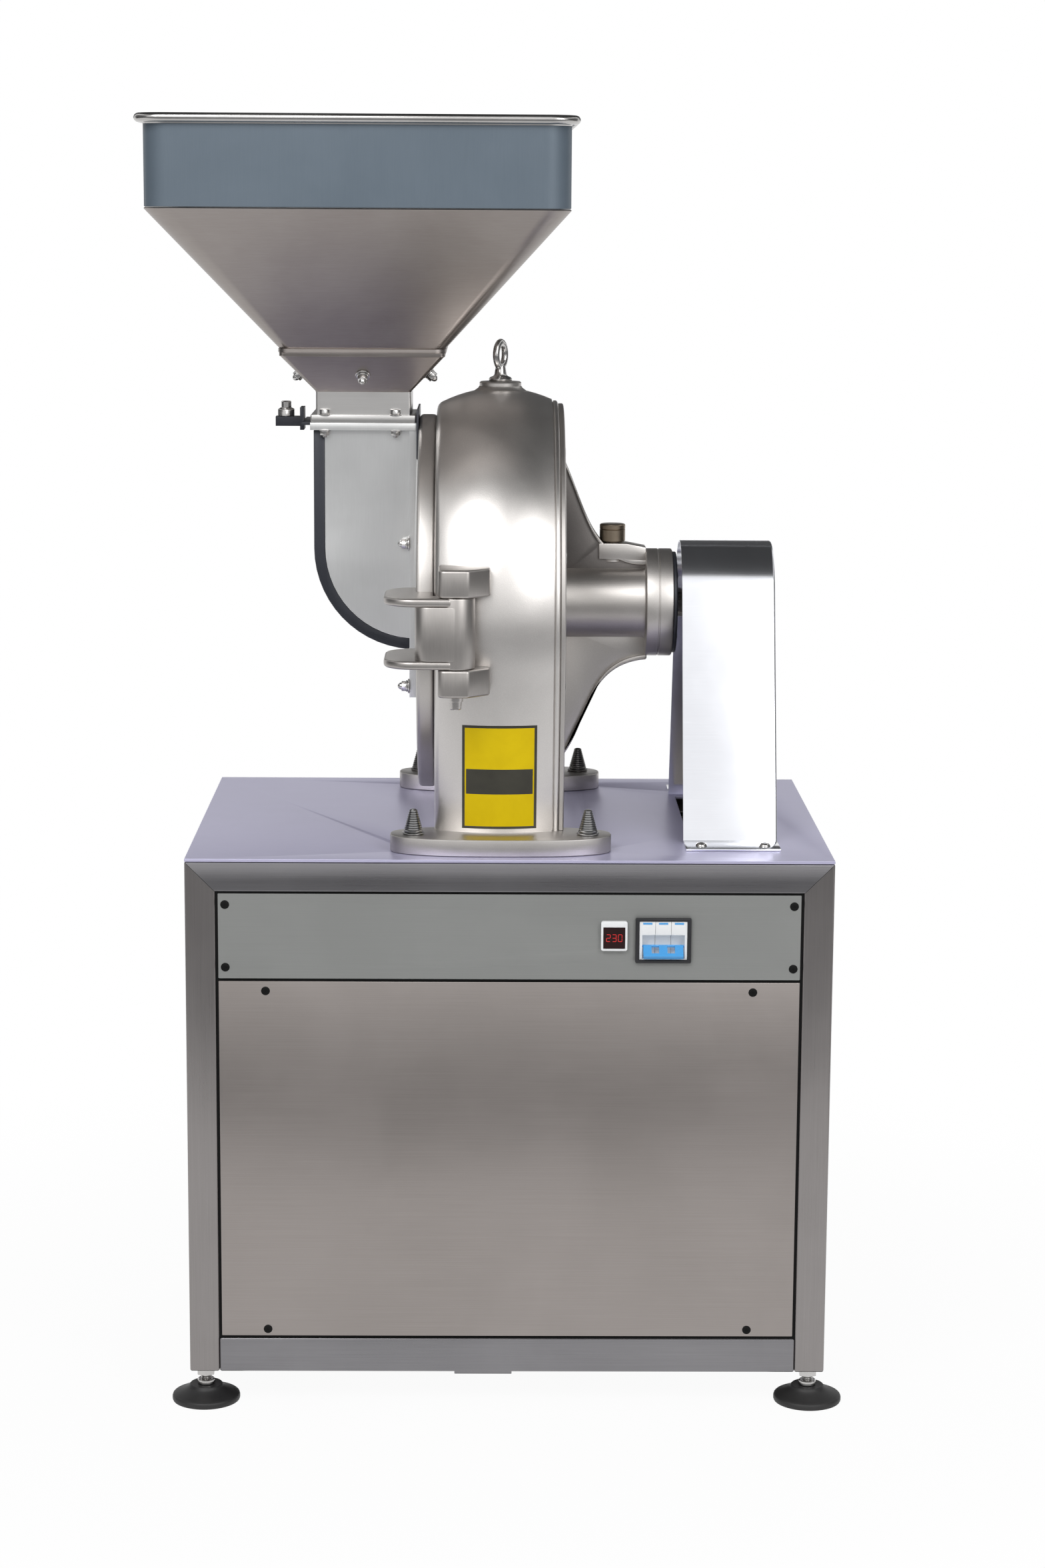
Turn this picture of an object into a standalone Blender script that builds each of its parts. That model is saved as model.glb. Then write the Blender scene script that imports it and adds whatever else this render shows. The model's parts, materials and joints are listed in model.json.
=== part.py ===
# A hammer mill on its steel cabinet, as separate solids.
# Metres, +Z up, +X to the drive side, +Y to the rear.
# Shapes are laid out from the middle of the table top. The datum empty then puts the origin on the
# floor, under the middle of the whole mill.

import math

import bmesh
import bpy

# ---- Cabinet -------------------------------------------------------------------------------------
cabinet_width = 0.730
cabinet_depth = 0.532
cabinet_height = 0.601      # from the table top's upper face to the lower ends of the posts
post_side = 0.034
foot_rail_height = 0.040
tube_wall = 0.002
post_end_plate = 0.006
table_plate = 0.003
panel_sheet = 0.002
panel_gap = 0.003           # the joint seen round each panel
panel_setback = 0.0005
panel_split = 0.1385        # depth of the joint between the two front panels
lug_sheet = 0.003
lug_side = 0.024
seat = 0.0003               # between pieces that rest on each other or turn in each other

# ---- Feet ----------------------------------------------------------------------------------------
foot_height = 0.039
foot_pad_radius = 0.039
foot_pad_top_radius = 0.0193
foot_pad_height = 0.019
foot_stem_radius = 0.006
foot_stem_rise = 0.030      # how far the stem reaches up inside the post
foot_nut_radius = 0.011
foot_nut_height = 0.008

# ---- Mill casing ---------------------------------------------------------------------------------
shaft_height = 0.260        # above the table top
casing_left = -0.0862
casing_length = 0.1414
casing_edge_radius = 0.232
casing_crown = 0.0195       # how much fuller the middle is than the edges
casing_fillet = 0.006
casing_base_half = 0.203
chamber_radius = 0.222
chamber_relief_radius = 0.236
chamber_seat_width = 0.014
chute_opening_length = 0.100
chute_opening_width = 0.200
mill_foot_length = 0.251
mill_foot_thickness = 0.0195
mill_foot_inner = 0.165
mill_foot_outer = 0.250
mill_foot_squareness = 2.6     # 2 draws an ellipse, more draws fuller corners
mill_foot_steps = 40
mill_foot_centre = -0.0105
base_bolt_spacing = 0.198
base_bolt_reach = 0.213
base_bolt_radius = 0.005
base_nut_radius = 0.0105
base_nut_height = 0.010
base_bolt_stand = 0.029
lifting_boss_radius = 0.0245
lifting_boss_top = shaft_height + 0.2590
eye_ring_radius = 0.0150
eye_ring_wire = 0.0040
eye_turn = math.radians(62)
eye_collar_radius = 0.0105
eye_collar_height = 0.013
eye_thread_radius = 0.005
eye_thread_depth = 0.012

# ---- Door, its hinge and its hand screw ----------------------------------------------------------
door_thickness = 0.0203
door_radius = 0.220
door_rim_round = 0.003
hinge_x = -0.0616
hinge_y = -0.2655
hinge_pin_radius = 0.0085
barrel_radius = 0.0215
barrel_low = shaft_height - 0.0430
barrel_high = shaft_height + 0.0362
lug_height = 0.0310
ear_thickness = 0.0095
ear_reach = 0.035           # past the outer face of the door
ear_rear = -0.172
ear_corner = 0.034
hinge_pin_drop = 0.016
clamp_y = 0.252
clamp_ear_half = 0.024
clamp_ear_end = 0.275
clamp_screw_radius = 0.006
clamp_socket_radius = 0.0072
clamp_reach = 0.026         # how far the screw enters the casing's lug
clamp_knob_radius = 0.022
clamp_knob_length = 0.026
clamp_lug_depth = 0.034

# ---- Feed chute, gate and hopper -----------------------------------------------------------------
chute_plate = 0.0105
chute_plate_half = 0.060
chute_plate_low = shaft_height - 0.107
chute_half = 0.0545
chute_sheet = 0.004
chute_bend_radius = 0.1185
chute_bend_height = shaft_height + 0.0675
chute_band = 0.013
inlet_low = shaft_height - 0.0365
inlet_high = shaft_height + 0.0550
inlet_half = 0.045
flange_reach = 0.0642         # from the door's outer face to the middle of the flanges
flange_half = 0.0615
flange_low = shaft_height + 0.2050
flange_thickness = 0.0085
gate_sheet = 0.0030
gate_half = 0.0527
gate_tail = 0.0100
gate_bracket_height = 0.026
gate_bracket_half = 0.018
gate_arm = 0.0330
gate_bolt_radius = 0.004
gate_knob_radius = 0.0110
neck_half = 0.0550
neck_sheet = 0.002
neck_top = shaft_height + 0.2495
funnel_top = shaft_height + 0.2910
funnel_half = 0.0935
bead_height = 0.0048
bead_overhang = 0.0012
cone_low_half = 0.0932
cone_top = shaft_height + 0.4580
hopper_half = 0.2340
hopper_top = shaft_height + 0.5490
hopper_sheet = 0.0020
hopper_corner = 0.030
rim_radius = 0.0051
rim_overhang = 0.0101        # how far the rolled rim stands out past the band

# ---- Bearing housing and rotor -------------------------------------------------------------------
wall_plate = 0.006
housing_tube_radius = 0.042
housing_ring_start = 0.1605
housing_ring_end = 0.1915
housing_ring_radius = 0.0635
housing_bore = 0.0363
rib_half = 0.010
rib_lip_half = 0.0145
rib_lip = 0.006
# heights above or below the shaft: at the wall and at the ring, then the two knots between them
upper_rib_rise = (0.1680, 0.0518)
upper_rib_knots = ((0.0900, 0.1120), (0.0960, 0.0480))
lower_rib_drop = (0.1840, 0.0670)
lower_rib_knots = ((0.0960, 0.1420), (0.0900, 0.0730))
bearing_width = 0.018
cap_radius = 0.0600
cap_thickness = 0.0045
rotor_shaft_radius = 0.017
drive_end_radius = 0.014
rotor_shaft_end = 0.292
hub_radius = 0.032
disc_radius = 0.150
disc_thickness = 0.007
rotor_left_room = 0.0242      # from the casing's left edge to the rotor
rotor_right_room = 0.0152     # from the rotor to the casing's right edge
hammer_pin_circle = 0.125
hammer_pin_radius = 0.006
hammer_pin_play = 0.0004    # lets the pin turn in its many-sided hole
hammer_tube_radius = 0.011
hammer_length = 0.074       # from the pin to the tip
hammer_tail = 0.015
hammer_width = 0.030
hammer_sheet = 0.006
hammers_in_row = 4
screen_sheet = 0.002
liner_thickness = 0.008
lubricator_x = 0.121
lubricator_low = shaft_height + 0.0717
lubricator_radius = 0.0151
lubricator_height = 0.0212
lubricator_stem = 0.005
lubricator_boss_radius = 0.0125
lubricator_hole_depth = 0.012
lubricator_room = 0.0014     # between the lubricator and the pocket cut for it in the rib

# ---- Drive ---------------------------------------------------------------------------------------
pulley_middle = 0.252
pulley_width = 0.035
groove_pitch = 0.015
groove_depth = 0.0095
groove_mouth = 0.013
groove_floor = 0.007
driven_pulley_radius = 0.058
motor_pulley_radius = 0.0725
belt_depth = 0.008
belt_side_clearance = 0.0005
motor_plate_thickness = 0.010
motor_shaft_rise = 0.112
motor_radius = 0.088
motor_fin = 0.006
motor_fins = 15
motor_left = -0.100
motor_right = 0.150
motor_cavity_radius = 0.058
motor_shaft_radius = 0.014
motor_foot_start = -0.055
motor_foot_end = 0.105
motor_foot_reach = 0.070
motor_foot_half = 0.025
motor_foot_thickness = 0.012
motor_web_reach = 0.058
motor_web_half = 0.008
fan_cover_length = 0.055
terminal_box_side = 0.084
terminal_box_height = 0.045
guard_left = 0.2005
guard_right = 0.3090
guard_radius = 0.0735
guard_base_half = 0.159
guard_sheet = 0.002
guard_foot = 0.050
guard_foot_sheet = 0.0025
slot_left = 0.208
slot_right = 0.302
slot_front = -0.110
slot_rear = 0.140

# ---- Discharge chute under the table -------------------------------------------------------------
discharge_half_x = 0.055
discharge_half_y = 0.105
discharge_sheet = 0.002
discharge_straight = 0.030
discharge_lip = 0.018       # how far the outlet stands out of the rear panel
discharge_flange = 0.018

# ---- Instruments on the control panel ------------------------------------------------------------
breaker_x = 0.1729
breaker_z = -0.0910
breaker_bezel_width = 0.0627
breaker_bezel_height = 0.0517
breaker_window_width = 0.0545
breaker_window_height = 0.0445
bezel_stand = 0.004
breaker_depth = 0.060
breaker_pole = 0.0178       # width of one pole
toggle_pivot_radius = 0.0015
toggle_drop = 0.0075          # of the pivot below the breaker's middle
toggle_pivot_depth = 0.0055   # of the pivot behind the breaker's face
toggle_slot_half = 0.0138
toggle_slot_depth = 0.010
toggle_reach = 0.016
toggle_half = 0.0047          # half the width of one lever
toggle_tie_half = 0.0222
toggle_rest = math.radians(-40)
meter_x = 0.1175
meter_z = -0.0856
meter_width = 0.0296
meter_height = 0.0337
meter_window_width = 0.0248
meter_window_height = 0.0248
meter_window_rise = -0.0022    # of the window's middle above the meter's middle
meter_recess = 0.003
meter_stand = 0.005
meter_depth = 0.030

# ---- Places worked out from the dimensions above -------------------------------------------------
half_width = cabinet_width / 2
half_depth = cabinet_depth / 2
frame_top = -table_plate - seat
frame_low = -cabinet_height
floor_z = -cabinet_height - foot_height
post_x = half_width - post_side / 2
post_y = half_depth - post_side / 2
casing_right = casing_left + casing_length
casing_middle = (casing_left + casing_right + seat + wall_plate) / 2
chamber_middle = (casing_left + casing_right) / 2
chamber_steps = 48          # flats that round the chamber's bore
chamber_flat = chamber_radius * math.cos(math.pi / chamber_steps) - seat
door_right = casing_left - seat
door_left = door_right - door_thickness
flange_centre = door_left - flange_reach
rotor_left = casing_left + rotor_left_room
rotor_right = casing_right - rotor_right_room
chute_right = door_left - seat
chute_face = chute_right - chute_plate
bend_x = door_left - 0.0035
flange_joint = flange_low + flange_thickness
wall_left = casing_right + seat
wall_right = wall_left + wall_plate
motor_axis_z = frame_low + foot_rail_height + seat + motor_plate_thickness + seat + motor_shaft_rise
hopper_left = flange_centre - hopper_half - rim_overhang
mill_right = post_x + foot_pad_radius
lubricator_y = 0.0
lubricator_seat = lubricator_low - seat
datum = (-(hopper_left + mill_right) / 2, 0.0, -floor_z)


# ---- Tools of the trade --------------------------------------------------------------------------
def place(axis, along, across, up):
    """A point given along an axis and across it."""
    if axis == "X":
        return (along, across, up)
    if axis == "Y":
        return (across, along, up)
    return (across, up, along)


def solid(name, rings, closed=False):
    """A closed body through rings of equally many points; a closed one bends back to its first ring."""
    shape = bmesh.new()
    loops = [[shape.verts.new(point) for point in ring] for ring in rings]
    count = len(loops[0])
    pairs = list(zip(loops, loops[1:]))
    if closed:
        pairs.append((loops[-1], loops[0]))
    for first, second in pairs:
        for i in range(count):
            j = (i + 1) % count
            shape.faces.new((first[i], first[j], second[j], second[i]))
    if not closed:
        shape.faces.new(loops[0])
        shape.faces.new(loops[-1])
    bmesh.ops.recalc_face_normals(shape, faces=shape.faces)
    mesh = bpy.data.meshes.new(name)
    shape.to_mesh(mesh)
    shape.free()
    piece = bpy.data.objects.new(name, mesh)
    bpy.context.collection.objects.link(piece)
    return piece


def circle(axis, centre, along, radius, steps):
    turn = 2 * math.pi / steps
    return [
        place(axis, along, centre[0] + radius * math.cos(i * turn), centre[1] + radius * math.sin(i * turn))
        for i in range(steps)
    ]


def turned(name, axis, centre, stations, steps=32, closed=False):
    """A turned body: each station is a place along the axis and a radius."""
    return solid(name, [circle(axis, centre, a, r, steps) for a, r in stations], closed)


def prism(name, axis, outline, low, high):
    return solid(name, [[place(axis, a, u, v) for u, v in outline] for a in (low, high)])


def box(name, low, high):
    outline = [(low[0], low[1]), (high[0], low[1]), (high[0], high[1]), (low[0], high[1])]
    return prism(name, "Z", outline, low[2], high[2])


def arc(centre, radius, start, end, steps):
    """Points on an arc, angles in degrees."""
    points = []
    for i in range(steps + 1):
        angle = math.radians(start + (end - start) * i / steps)
        points.append((centre[0] + radius * math.cos(angle), centre[1] + radius * math.sin(angle)))
    return points


def rounded(low, high, radius, steps=5):
    """A rectangle with rounded corners."""
    corners = (
        (high[0] - radius, high[1] - radius, 0),
        (low[0] + radius, high[1] - radius, 90),
        (low[0] + radius, low[1] + radius, 180),
        (high[0] - radius, low[1] + radius, 270),
    )
    return [point for x, y, start in corners for point in arc((x, y), radius, start, start + 90, steps)]


def arch(radius, base_half, height, base, steps):
    """A round top whose sides run straight from it to the base."""
    drop = base - height
    reach = math.hypot(base_half, drop)
    start = math.degrees(math.atan2(drop, base_half) + math.acos(radius / reach))
    return [(base_half, base)] + arc((0, height), radius, start, 180 - start, steps) + [(-base_half, base)]


def bezier(first, second, third, last, steps):
    points = []
    for i in range(steps + 1):
        t = i / steps
        weights = ((1 - t) ** 3, 3 * t * (1 - t) ** 2, 3 * t * t * (1 - t), t ** 3)
        knots = (first, second, third, last)
        points.append(tuple(sum(w * knot[k] for w, knot in zip(weights, knots)) for k in (0, 1)))
    return points


def combine(piece, operation, others):
    """Cuts the others out of a piece, or joins them to it; the others then only guide the shape."""
    for other in others:
        other.hide_render = True
        other.display_type = "WIRE"
        modifier = piece.modifiers.new(operation.lower() + " " + other.name, "BOOLEAN")
        modifier.operation = operation
        modifier.solver = "EXACT"
        modifier.object = other
    return piece


def cut(piece, *others):
    return combine(piece, "DIFFERENCE", others)


def join(piece, *others):
    return combine(piece, "UNION", others)


def finish(piece, colour, metallic, roughness, smooth=False):
    """Gives a piece its own material."""
    material = bpy.data.materials.new(piece.name)
    material.use_nodes = True
    shader = material.node_tree.nodes["Principled BSDF"]
    shader.inputs["Base Color"].default_value = (*colour, 1)
    shader.inputs["Metallic"].default_value = metallic
    shader.inputs["Roughness"].default_value = roughness
    piece.data.materials.append(material)
    if smooth:
        piece.data.shade_smooth()
        piece.data.set_sharp_from_angle(angle=math.radians(35))
    return piece


stainless = ((0.72, 0.72, 0.75), 1.0, 0.32)
cast_steel = ((0.66, 0.63, 0.60), 1.0, 0.38)
sheet_steel = ((0.74, 0.74, 0.74), 1.0, 0.35)
dark_steel = ((0.10, 0.10, 0.12), 0.8, 0.35)
bright_steel = ((0.80, 0.80, 0.80), 1.0, 0.18)
blue_grey = ((0.33, 0.38, 0.47), 0.1, 0.45)
black_plastic = ((0.02, 0.02, 0.022), 0.0, 0.5)
rubber = ((0.03, 0.03, 0.03), 0.0, 0.8)
paint_grey = ((0.30, 0.33, 0.36), 0.2, 0.5)


def datum_empty():
    empty = bpy.data.objects.new("mill_datum", None)
    empty.location = datum
    bpy.context.collection.objects.link(empty)
    return empty


def axis_empty(name, point, parent):
    """An empty on a joint's axis; point is in the layout's own axes."""
    empty = bpy.data.objects.new(name, None)
    bpy.context.collection.objects.link(empty)
    empty.parent = parent
    base = parent.get("point", (0.0, 0.0, 0.0))
    empty.location = [point[k] - base[k] for k in range(3)]
    empty["point"] = point
    return empty


def carry(parent, *pieces):
    """Hangs pieces, and the shapes that guide them, on an empty without moving them."""
    base = parent.get("point", (0.0, 0.0, 0.0))
    for piece in pieces:
        for guide in [piece] + guides_of(piece):
            if guide.parent is None:
                guide.parent = parent
                guide.location = [-base[k] for k in range(3)]


def guides_of(piece):
    found = []
    for modifier in piece.modifiers:
        if modifier.type == "BOOLEAN":
            found += [modifier.object] + guides_of(modifier.object)
    return found


# ---- Cabinet -------------------------------------------------------------------------------------
def bars(name, inset, low, high):
    """The twelve bars of the cabinet; inset draws the hollow inside them."""
    out_x, out_y = half_width - inset, half_depth - inset
    in_x, in_y = half_width - post_side + inset, half_depth - post_side + inset
    in_low = frame_low + foot_rail_height - inset
    in_high = frame_top - post_side + inset
    past = 2 * cabinet_width
    frame = box(name, (-out_x, -out_y, low), (out_x, out_y, high))
    return cut(
        frame,
        box(name + " side windows", (-past, -in_y, in_low), (past, in_y, in_high)),
        box(name + " front windows", (-in_x, -past, in_low), (in_x, past, in_high)),
        box(name + " well", (-in_x, -in_y, -past), (in_x, in_y, past)),
    )


def panel_lug(name, side, x, y, z):
    """A small plate behind a panel's screw, grown out of the bar beside it."""
    back = panel_setback + panel_sheet + seat
    root = 0.001
    if side == "front" or side == "rear":
        sign = -1 if side == "front" else 1
        ys = sorted((sign * (half_depth - back), sign * (half_depth - back - lug_sheet)))
        edge = half_width - post_side + root
        xs = sorted((math.copysign(edge, x), math.copysign(edge - lug_side, x)))
        return box(name, (xs[0], ys[0], z - lug_side / 2), (xs[1], ys[1], z + lug_side / 2))
    sign = -1 if side == "left" else 1
    xs = sorted((sign * (half_width - back), sign * (half_width - back - lug_sheet)))
    edge = half_depth - post_side + root
    ys = sorted((math.copysign(edge, y), math.copysign(edge - lug_side, y)))
    return box(name, (xs[0], ys[0], z - lug_side / 2), (xs[1], ys[1], z + lug_side / 2))


def cabinet_frame():
    frame = bars("cabinet_frame", 0.0, frame_low, frame_top)
    lugs = []
    for x in (-1, 1):
        for z in (-0.052, -0.118):
            lugs.append(panel_lug(f"lug front {x} {z}", "front", x, 0, z))
        for z in (-0.080, -0.520):
            lugs.append(panel_lug(f"lug rear {x} {z}", "rear", x, 0, z))
    for y in (-1, 1):
        for z in (-0.080, -0.520):
            lugs.append(panel_lug(f"lug left {y} {z}", "left", 0, y, z))
            lugs.append(panel_lug(f"lug right {y} {z}", "right", 0, y, z))
    front = -(half_depth - panel_setback - panel_sheet - seat)
    reach = half_width - post_side + 0.001
    strip_half = 0.015
    strip_z = -panel_split - 0.008
    strip_back = front + lug_sheet
    strip_corner = (reach, strip_back, strip_z + strip_half)
    lugs.append(box("panel strip", (-reach, front, strip_z - strip_half), strip_corner))
    low = frame_low + foot_rail_height - 0.001
    for x in (-0.275, 0.275):
        left, right = x - lug_side / 2, x + lug_side / 2
        lugs.append(box(f"lug foot {x}", (left, front, low), (right, strip_back, low + lug_side)))
    tab_half, tab_sheet, tab_x = 0.033, 0.004, -0.028
    tab = box(
        "jacking tab",
        (tab_x - tab_half, -half_depth + 0.004, frame_low - tab_sheet),
        (tab_x + tab_half, -half_depth + 0.026, frame_low + 0.001),
    )
    join(frame, *lugs, tab)
    bore = bars("frame bore", tube_wall, frame_low + post_end_plate, frame_top - tube_wall)
    hole = foot_stem_radius + seat
    through = ((frame_low - 0.01, hole), (frame_low + 0.012, hole))
    holes = [
        turned(f"stem hole {x} {y}", "Z", (x * post_x, y * post_y), through, 14)
        for x in (-1, 1)
        for y in (-1, 1)
    ]
    cut(frame, bore, *holes)
    return finish(frame, *stainless)


def table_top():
    plate = box("table_top", (-half_width, -half_depth, -table_plate), (half_width, half_depth, 0.0))
    past = 0.01
    opening = box(
        "table discharge opening",
        (chamber_middle - chute_opening_length / 2, -chute_opening_width / 2, -past),
        (chamber_middle + chute_opening_length / 2, chute_opening_width / 2, past),
    )
    slot = box("belt slot", (slot_left, slot_front, -past), (slot_right, slot_rear, past))
    hole = base_bolt_radius + seat
    holes = [
        turned(f"table bolt hole {i}", "Z", spot, ((-past, hole), (past, hole)), 14)
        for i, spot in enumerate(base_bolt_places())
    ]
    cut(plate, opening, slot, *holes)
    return finish(plate, *stainless)


def base_bolt_places():
    half = base_bolt_spacing / 2
    return [(mill_foot_centre + sx * half, sy * base_bolt_reach) for sy in (-1, 1) for sx in (-1, 1)]


def panels():
    face = panel_setback
    inner_x = half_width - post_side - panel_gap
    inner_y = half_depth - post_side - panel_gap
    top = frame_top - post_side - panel_gap + 0.001
    low = frame_low + foot_rail_height + panel_gap
    joint = panel_gap / 2
    y_out, y_in = half_depth - face, half_depth - face - panel_sheet
    x_out, x_in = half_width - face, half_width - face - panel_sheet
    control = box("control_panel", (-inner_x, -y_out, -panel_split + joint), (inner_x, -y_in, top))
    past = 0.01
    cut(
        control,
        box(
            "breaker cutout",
            (breaker_x - breaker_window_width / 2, -y_out - past, breaker_z - breaker_window_height / 2),
            (breaker_x + breaker_window_width / 2, -y_in + past, breaker_z + breaker_window_height / 2),
        ),
        box(
            "meter cutout",
            (meter_x - meter_width / 2 + 0.003, -y_out - past, meter_z - meter_height / 2 + 0.003),
            (meter_x + meter_width / 2 - 0.003, -y_in + past, meter_z + meter_height / 2 - 0.003),
        ),
    )
    front = box("front_panel", (-inner_x, -y_out, low), (inner_x, -y_in, -panel_split - joint))
    rear = box("rear_panel", (-inner_x, y_in, low), (inner_x, y_out, top))
    outlet_low, outlet_high = outlet_heights()
    cut(
        rear,
        box(
            "outlet cutout",
            (chamber_middle - discharge_half_x - seat, y_in - past, outlet_low - seat),
            (chamber_middle + discharge_half_x + seat, y_out + past, outlet_high + seat),
        ),
    )
    left = box("left_panel", (-x_out, -inner_y, low), (-x_in, inner_y, top))
    right = box("right_panel", (x_in, -inner_y, low), (x_out, inner_y, top))
    made = [control, front, rear, left, right]
    for panel in made:
        finish(panel, *stainless)
    return made


def foot(name, x, y):
    """A levelling foot: its pad and its threaded stem with the lock nut."""
    pad_top = floor_z + foot_pad_height
    socket = 0.010
    pad = turned(
        "foot_pad_" + name,
        "Z",
        (x, y),
        (
            (floor_z, foot_pad_radius - 0.001),
            (floor_z + 0.002, foot_pad_radius),
            (floor_z + 0.007, foot_pad_radius - 0.0015),
            (pad_top - 0.002, foot_pad_top_radius + 0.002),
            (pad_top, foot_pad_top_radius),
            (pad_top, foot_stem_radius + seat),
            (pad_top - socket, foot_stem_radius + seat),
        ),
        20,
    )
    finish(pad, *rubber, smooth=True)
    nut_top = frame_low - seat
    nut_low = nut_top - foot_nut_height
    collar_low = pad_top + seat
    stem = turned(
        "foot_stem_" + name,
        "Z",
        (x, y),
        (
            (pad_top - socket + seat, foot_stem_radius),
            (collar_low, foot_stem_radius),
            (collar_low, foot_nut_radius - 0.001),
            (collar_low + 0.006, foot_nut_radius - 0.001),
            (collar_low + 0.006, foot_stem_radius),
            (nut_low, foot_stem_radius),
            (nut_low, foot_nut_radius),
            (nut_top, foot_nut_radius),
            (nut_top, foot_stem_radius),
            (frame_low + foot_stem_rise, foot_stem_radius),
        ),
        12,
    )
    finish(stem, *bright_steel, smooth=True)
    return pad, stem


# ---- Drive ---------------------------------------------------------------------------------------
def motor_plate():
    low = frame_low + foot_rail_height + seat
    bearing = half_depth - post_side + 0.014
    high = low + motor_plate_thickness
    plate = box("motor_plate", (motor_left - 0.02, -bearing, low), (motor_right + 0.02, bearing, high))
    return finish(plate, *paint_grey)


def motor():
    z = motor_axis_z
    centre = (0.0, z)
    outline = []
    pitch = 360 / motor_fins
    for i in range(motor_fins):
        start = i * pitch
        outline += arc(centre, motor_radius, start, start + pitch * 0.5, 1)
        outline += arc(centre, motor_radius + motor_fin, start + pitch * 0.6, start + pitch * 0.9, 1)
    body = prism("motor_body", "X", outline, motor_left + 0.02, motor_right - 0.02)
    shields = turned(
        "motor end shields",
        "X",
        centre,
        (
            (motor_left, motor_radius - 0.012),
            (motor_left + 0.006, motor_radius - 0.004),
            (motor_right - 0.012, motor_radius - 0.004),
            (motor_right - 0.006, 0.050),
            (motor_right, 0.048),
        ),
        24,
    )
    foot_low = z - motor_shaft_rise
    feet, webs = [], []
    for side in (-1, 1):
        y = side * motor_foot_reach
        low_corner = (motor_foot_start, y - motor_foot_half, foot_low)
        high_corner = (motor_foot_end, y + motor_foot_half, foot_low + motor_foot_thickness)
        feet.append(box(f"motor foot {side}", low_corner, high_corner))
        y = side * motor_web_reach
        low_corner = (motor_foot_start + 0.005, y - motor_web_half, foot_low + motor_foot_thickness / 2)
        high_corner = (motor_foot_end - 0.005, y + motor_web_half, z - 0.05)
        webs.append(box(f"motor foot web {side}", low_corner, high_corner))
    pad_top = z + motor_radius + motor_fin + 0.004
    pad = box("terminal pad", (-0.030, -0.035, z + 0.07), (0.054, 0.035, pad_top))
    join(body, shields, *feet, *webs, pad)
    r, cavity = motor_shaft_radius + seat, motor_cavity_radius
    hollow = turned(
        "motor hollow",
        "X",
        centre,
        (
            (motor_left - 0.01, r),
            (motor_left + 0.028, r),
            (motor_left + 0.028, cavity),
            (motor_right - 0.030, cavity),
            (motor_right - 0.030, r),
            (motor_right + 0.01, r),
        ),
        24,
    )
    cut(body, hollow)
    finish(body, *paint_grey, smooth=True)
    shaft = turned(
        "motor_shaft",
        "X",
        centre,
        (
            (motor_left - 0.030, motor_shaft_radius - 0.003),
            (motor_left - 0.006, motor_shaft_radius - 0.003),
            (motor_left - 0.006, motor_shaft_radius),
            (motor_left + 0.036, motor_shaft_radius),
            (motor_left + 0.036, cavity - 0.001),
            (motor_right - 0.038, cavity - 0.001),
            (motor_right - 0.038, motor_shaft_radius),
            (rotor_shaft_end - 0.006, motor_shaft_radius),
        ),
        24,
    )
    finish(shaft, *bright_steel, smooth=True)
    r_out = motor_radius + motor_fin
    gap_x = motor_left + 0.0205
    cover = turned(
        "motor_fan_cover",
        "X",
        centre,
        (
            (motor_left - fan_cover_length, 0.030),
            (motor_left - fan_cover_length, r_out - 0.012),
            (motor_left - fan_cover_length + 0.012, r_out),
            (gap_x - 0.001, r_out),
            (gap_x - 0.001, motor_radius - 0.004 + seat),
            (gap_x - 0.006, motor_radius - 0.004 + seat),
            (gap_x - 0.006, r_out - 0.0016),
            (motor_left - fan_cover_length + 0.012, r_out - 0.0016),
            (motor_left - fan_cover_length + 0.0016, r_out - 0.013),
            (motor_left - fan_cover_length + 0.0016, 0.030),
        ),
        24,
        closed=True,
    )
    finish(cover, *paint_grey, smooth=True)
    low = pad_top + seat
    half = terminal_box_side / 2
    terminal = prism(
        "motor_terminal_box",
        "Z",
        rounded((0.012 - half, -half), (0.012 + half, half), 0.006, 3),
        low,
        low + terminal_box_height,
    )
    finish(terminal, *paint_grey)
    return body, shaft, cover, terminal


def pulley(name, height, radius, bore):
    """A two-groove V-belt pulley on an axis along X."""
    stations = [(-pulley_width / 2, radius)]
    for side in (-1, 1):
        middle = side * groove_pitch / 2
        stations += [
            (middle - groove_mouth / 2, radius),
            (middle - groove_floor / 2, radius - groove_depth),
            (middle + groove_floor / 2, radius - groove_depth),
            (middle + groove_mouth / 2, radius),
        ]
    half = pulley_width / 2
    stations += [(half, radius), (half, bore + seat), (-half, bore + seat)]
    shape = turned(name, "X", (0.0, height), [(pulley_middle + a, r) for a, r in stations], 28, closed=True)
    return finish(shape, (0.25, 0.26, 0.28), 0.9, 0.45, smooth=True)


def belt(name, middle):
    """A V-belt round both pulleys."""
    slope = (groove_mouth - groove_floor) / 2 / groove_depth
    top_drop = 0.0002
    spread = shaft_height - motor_axis_z
    lean = math.degrees(math.asin((motor_pulley_radius - driven_pulley_radius) / spread))
    section = []
    for drop, side in ((top_drop, -1), (top_drop, 1), (belt_depth, 1), (belt_depth, -1)):
        half = groove_mouth / 2 - drop * slope - belt_side_clearance
        section.append((drop, side * half))
    steps = 14
    rings = []
    wraps = (
        (shaft_height, driven_pulley_radius, -lean, 180 + 2 * lean),
        (motor_axis_z, motor_pulley_radius, 180 + lean, 180 - 2 * lean),
    )
    for height, radius, start, sweep in wraps:
        for i in range(steps + 1):
            angle = math.radians(start + sweep * i / steps)
            ring = []
            for drop, x in section:
                reach = radius - drop
                ring.append((middle + x, reach * math.cos(angle), height + reach * math.sin(angle)))
            rings.append(ring)
    shape = solid(name, rings, closed=True)
    return finish(shape, *rubber, smooth=True)


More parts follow.
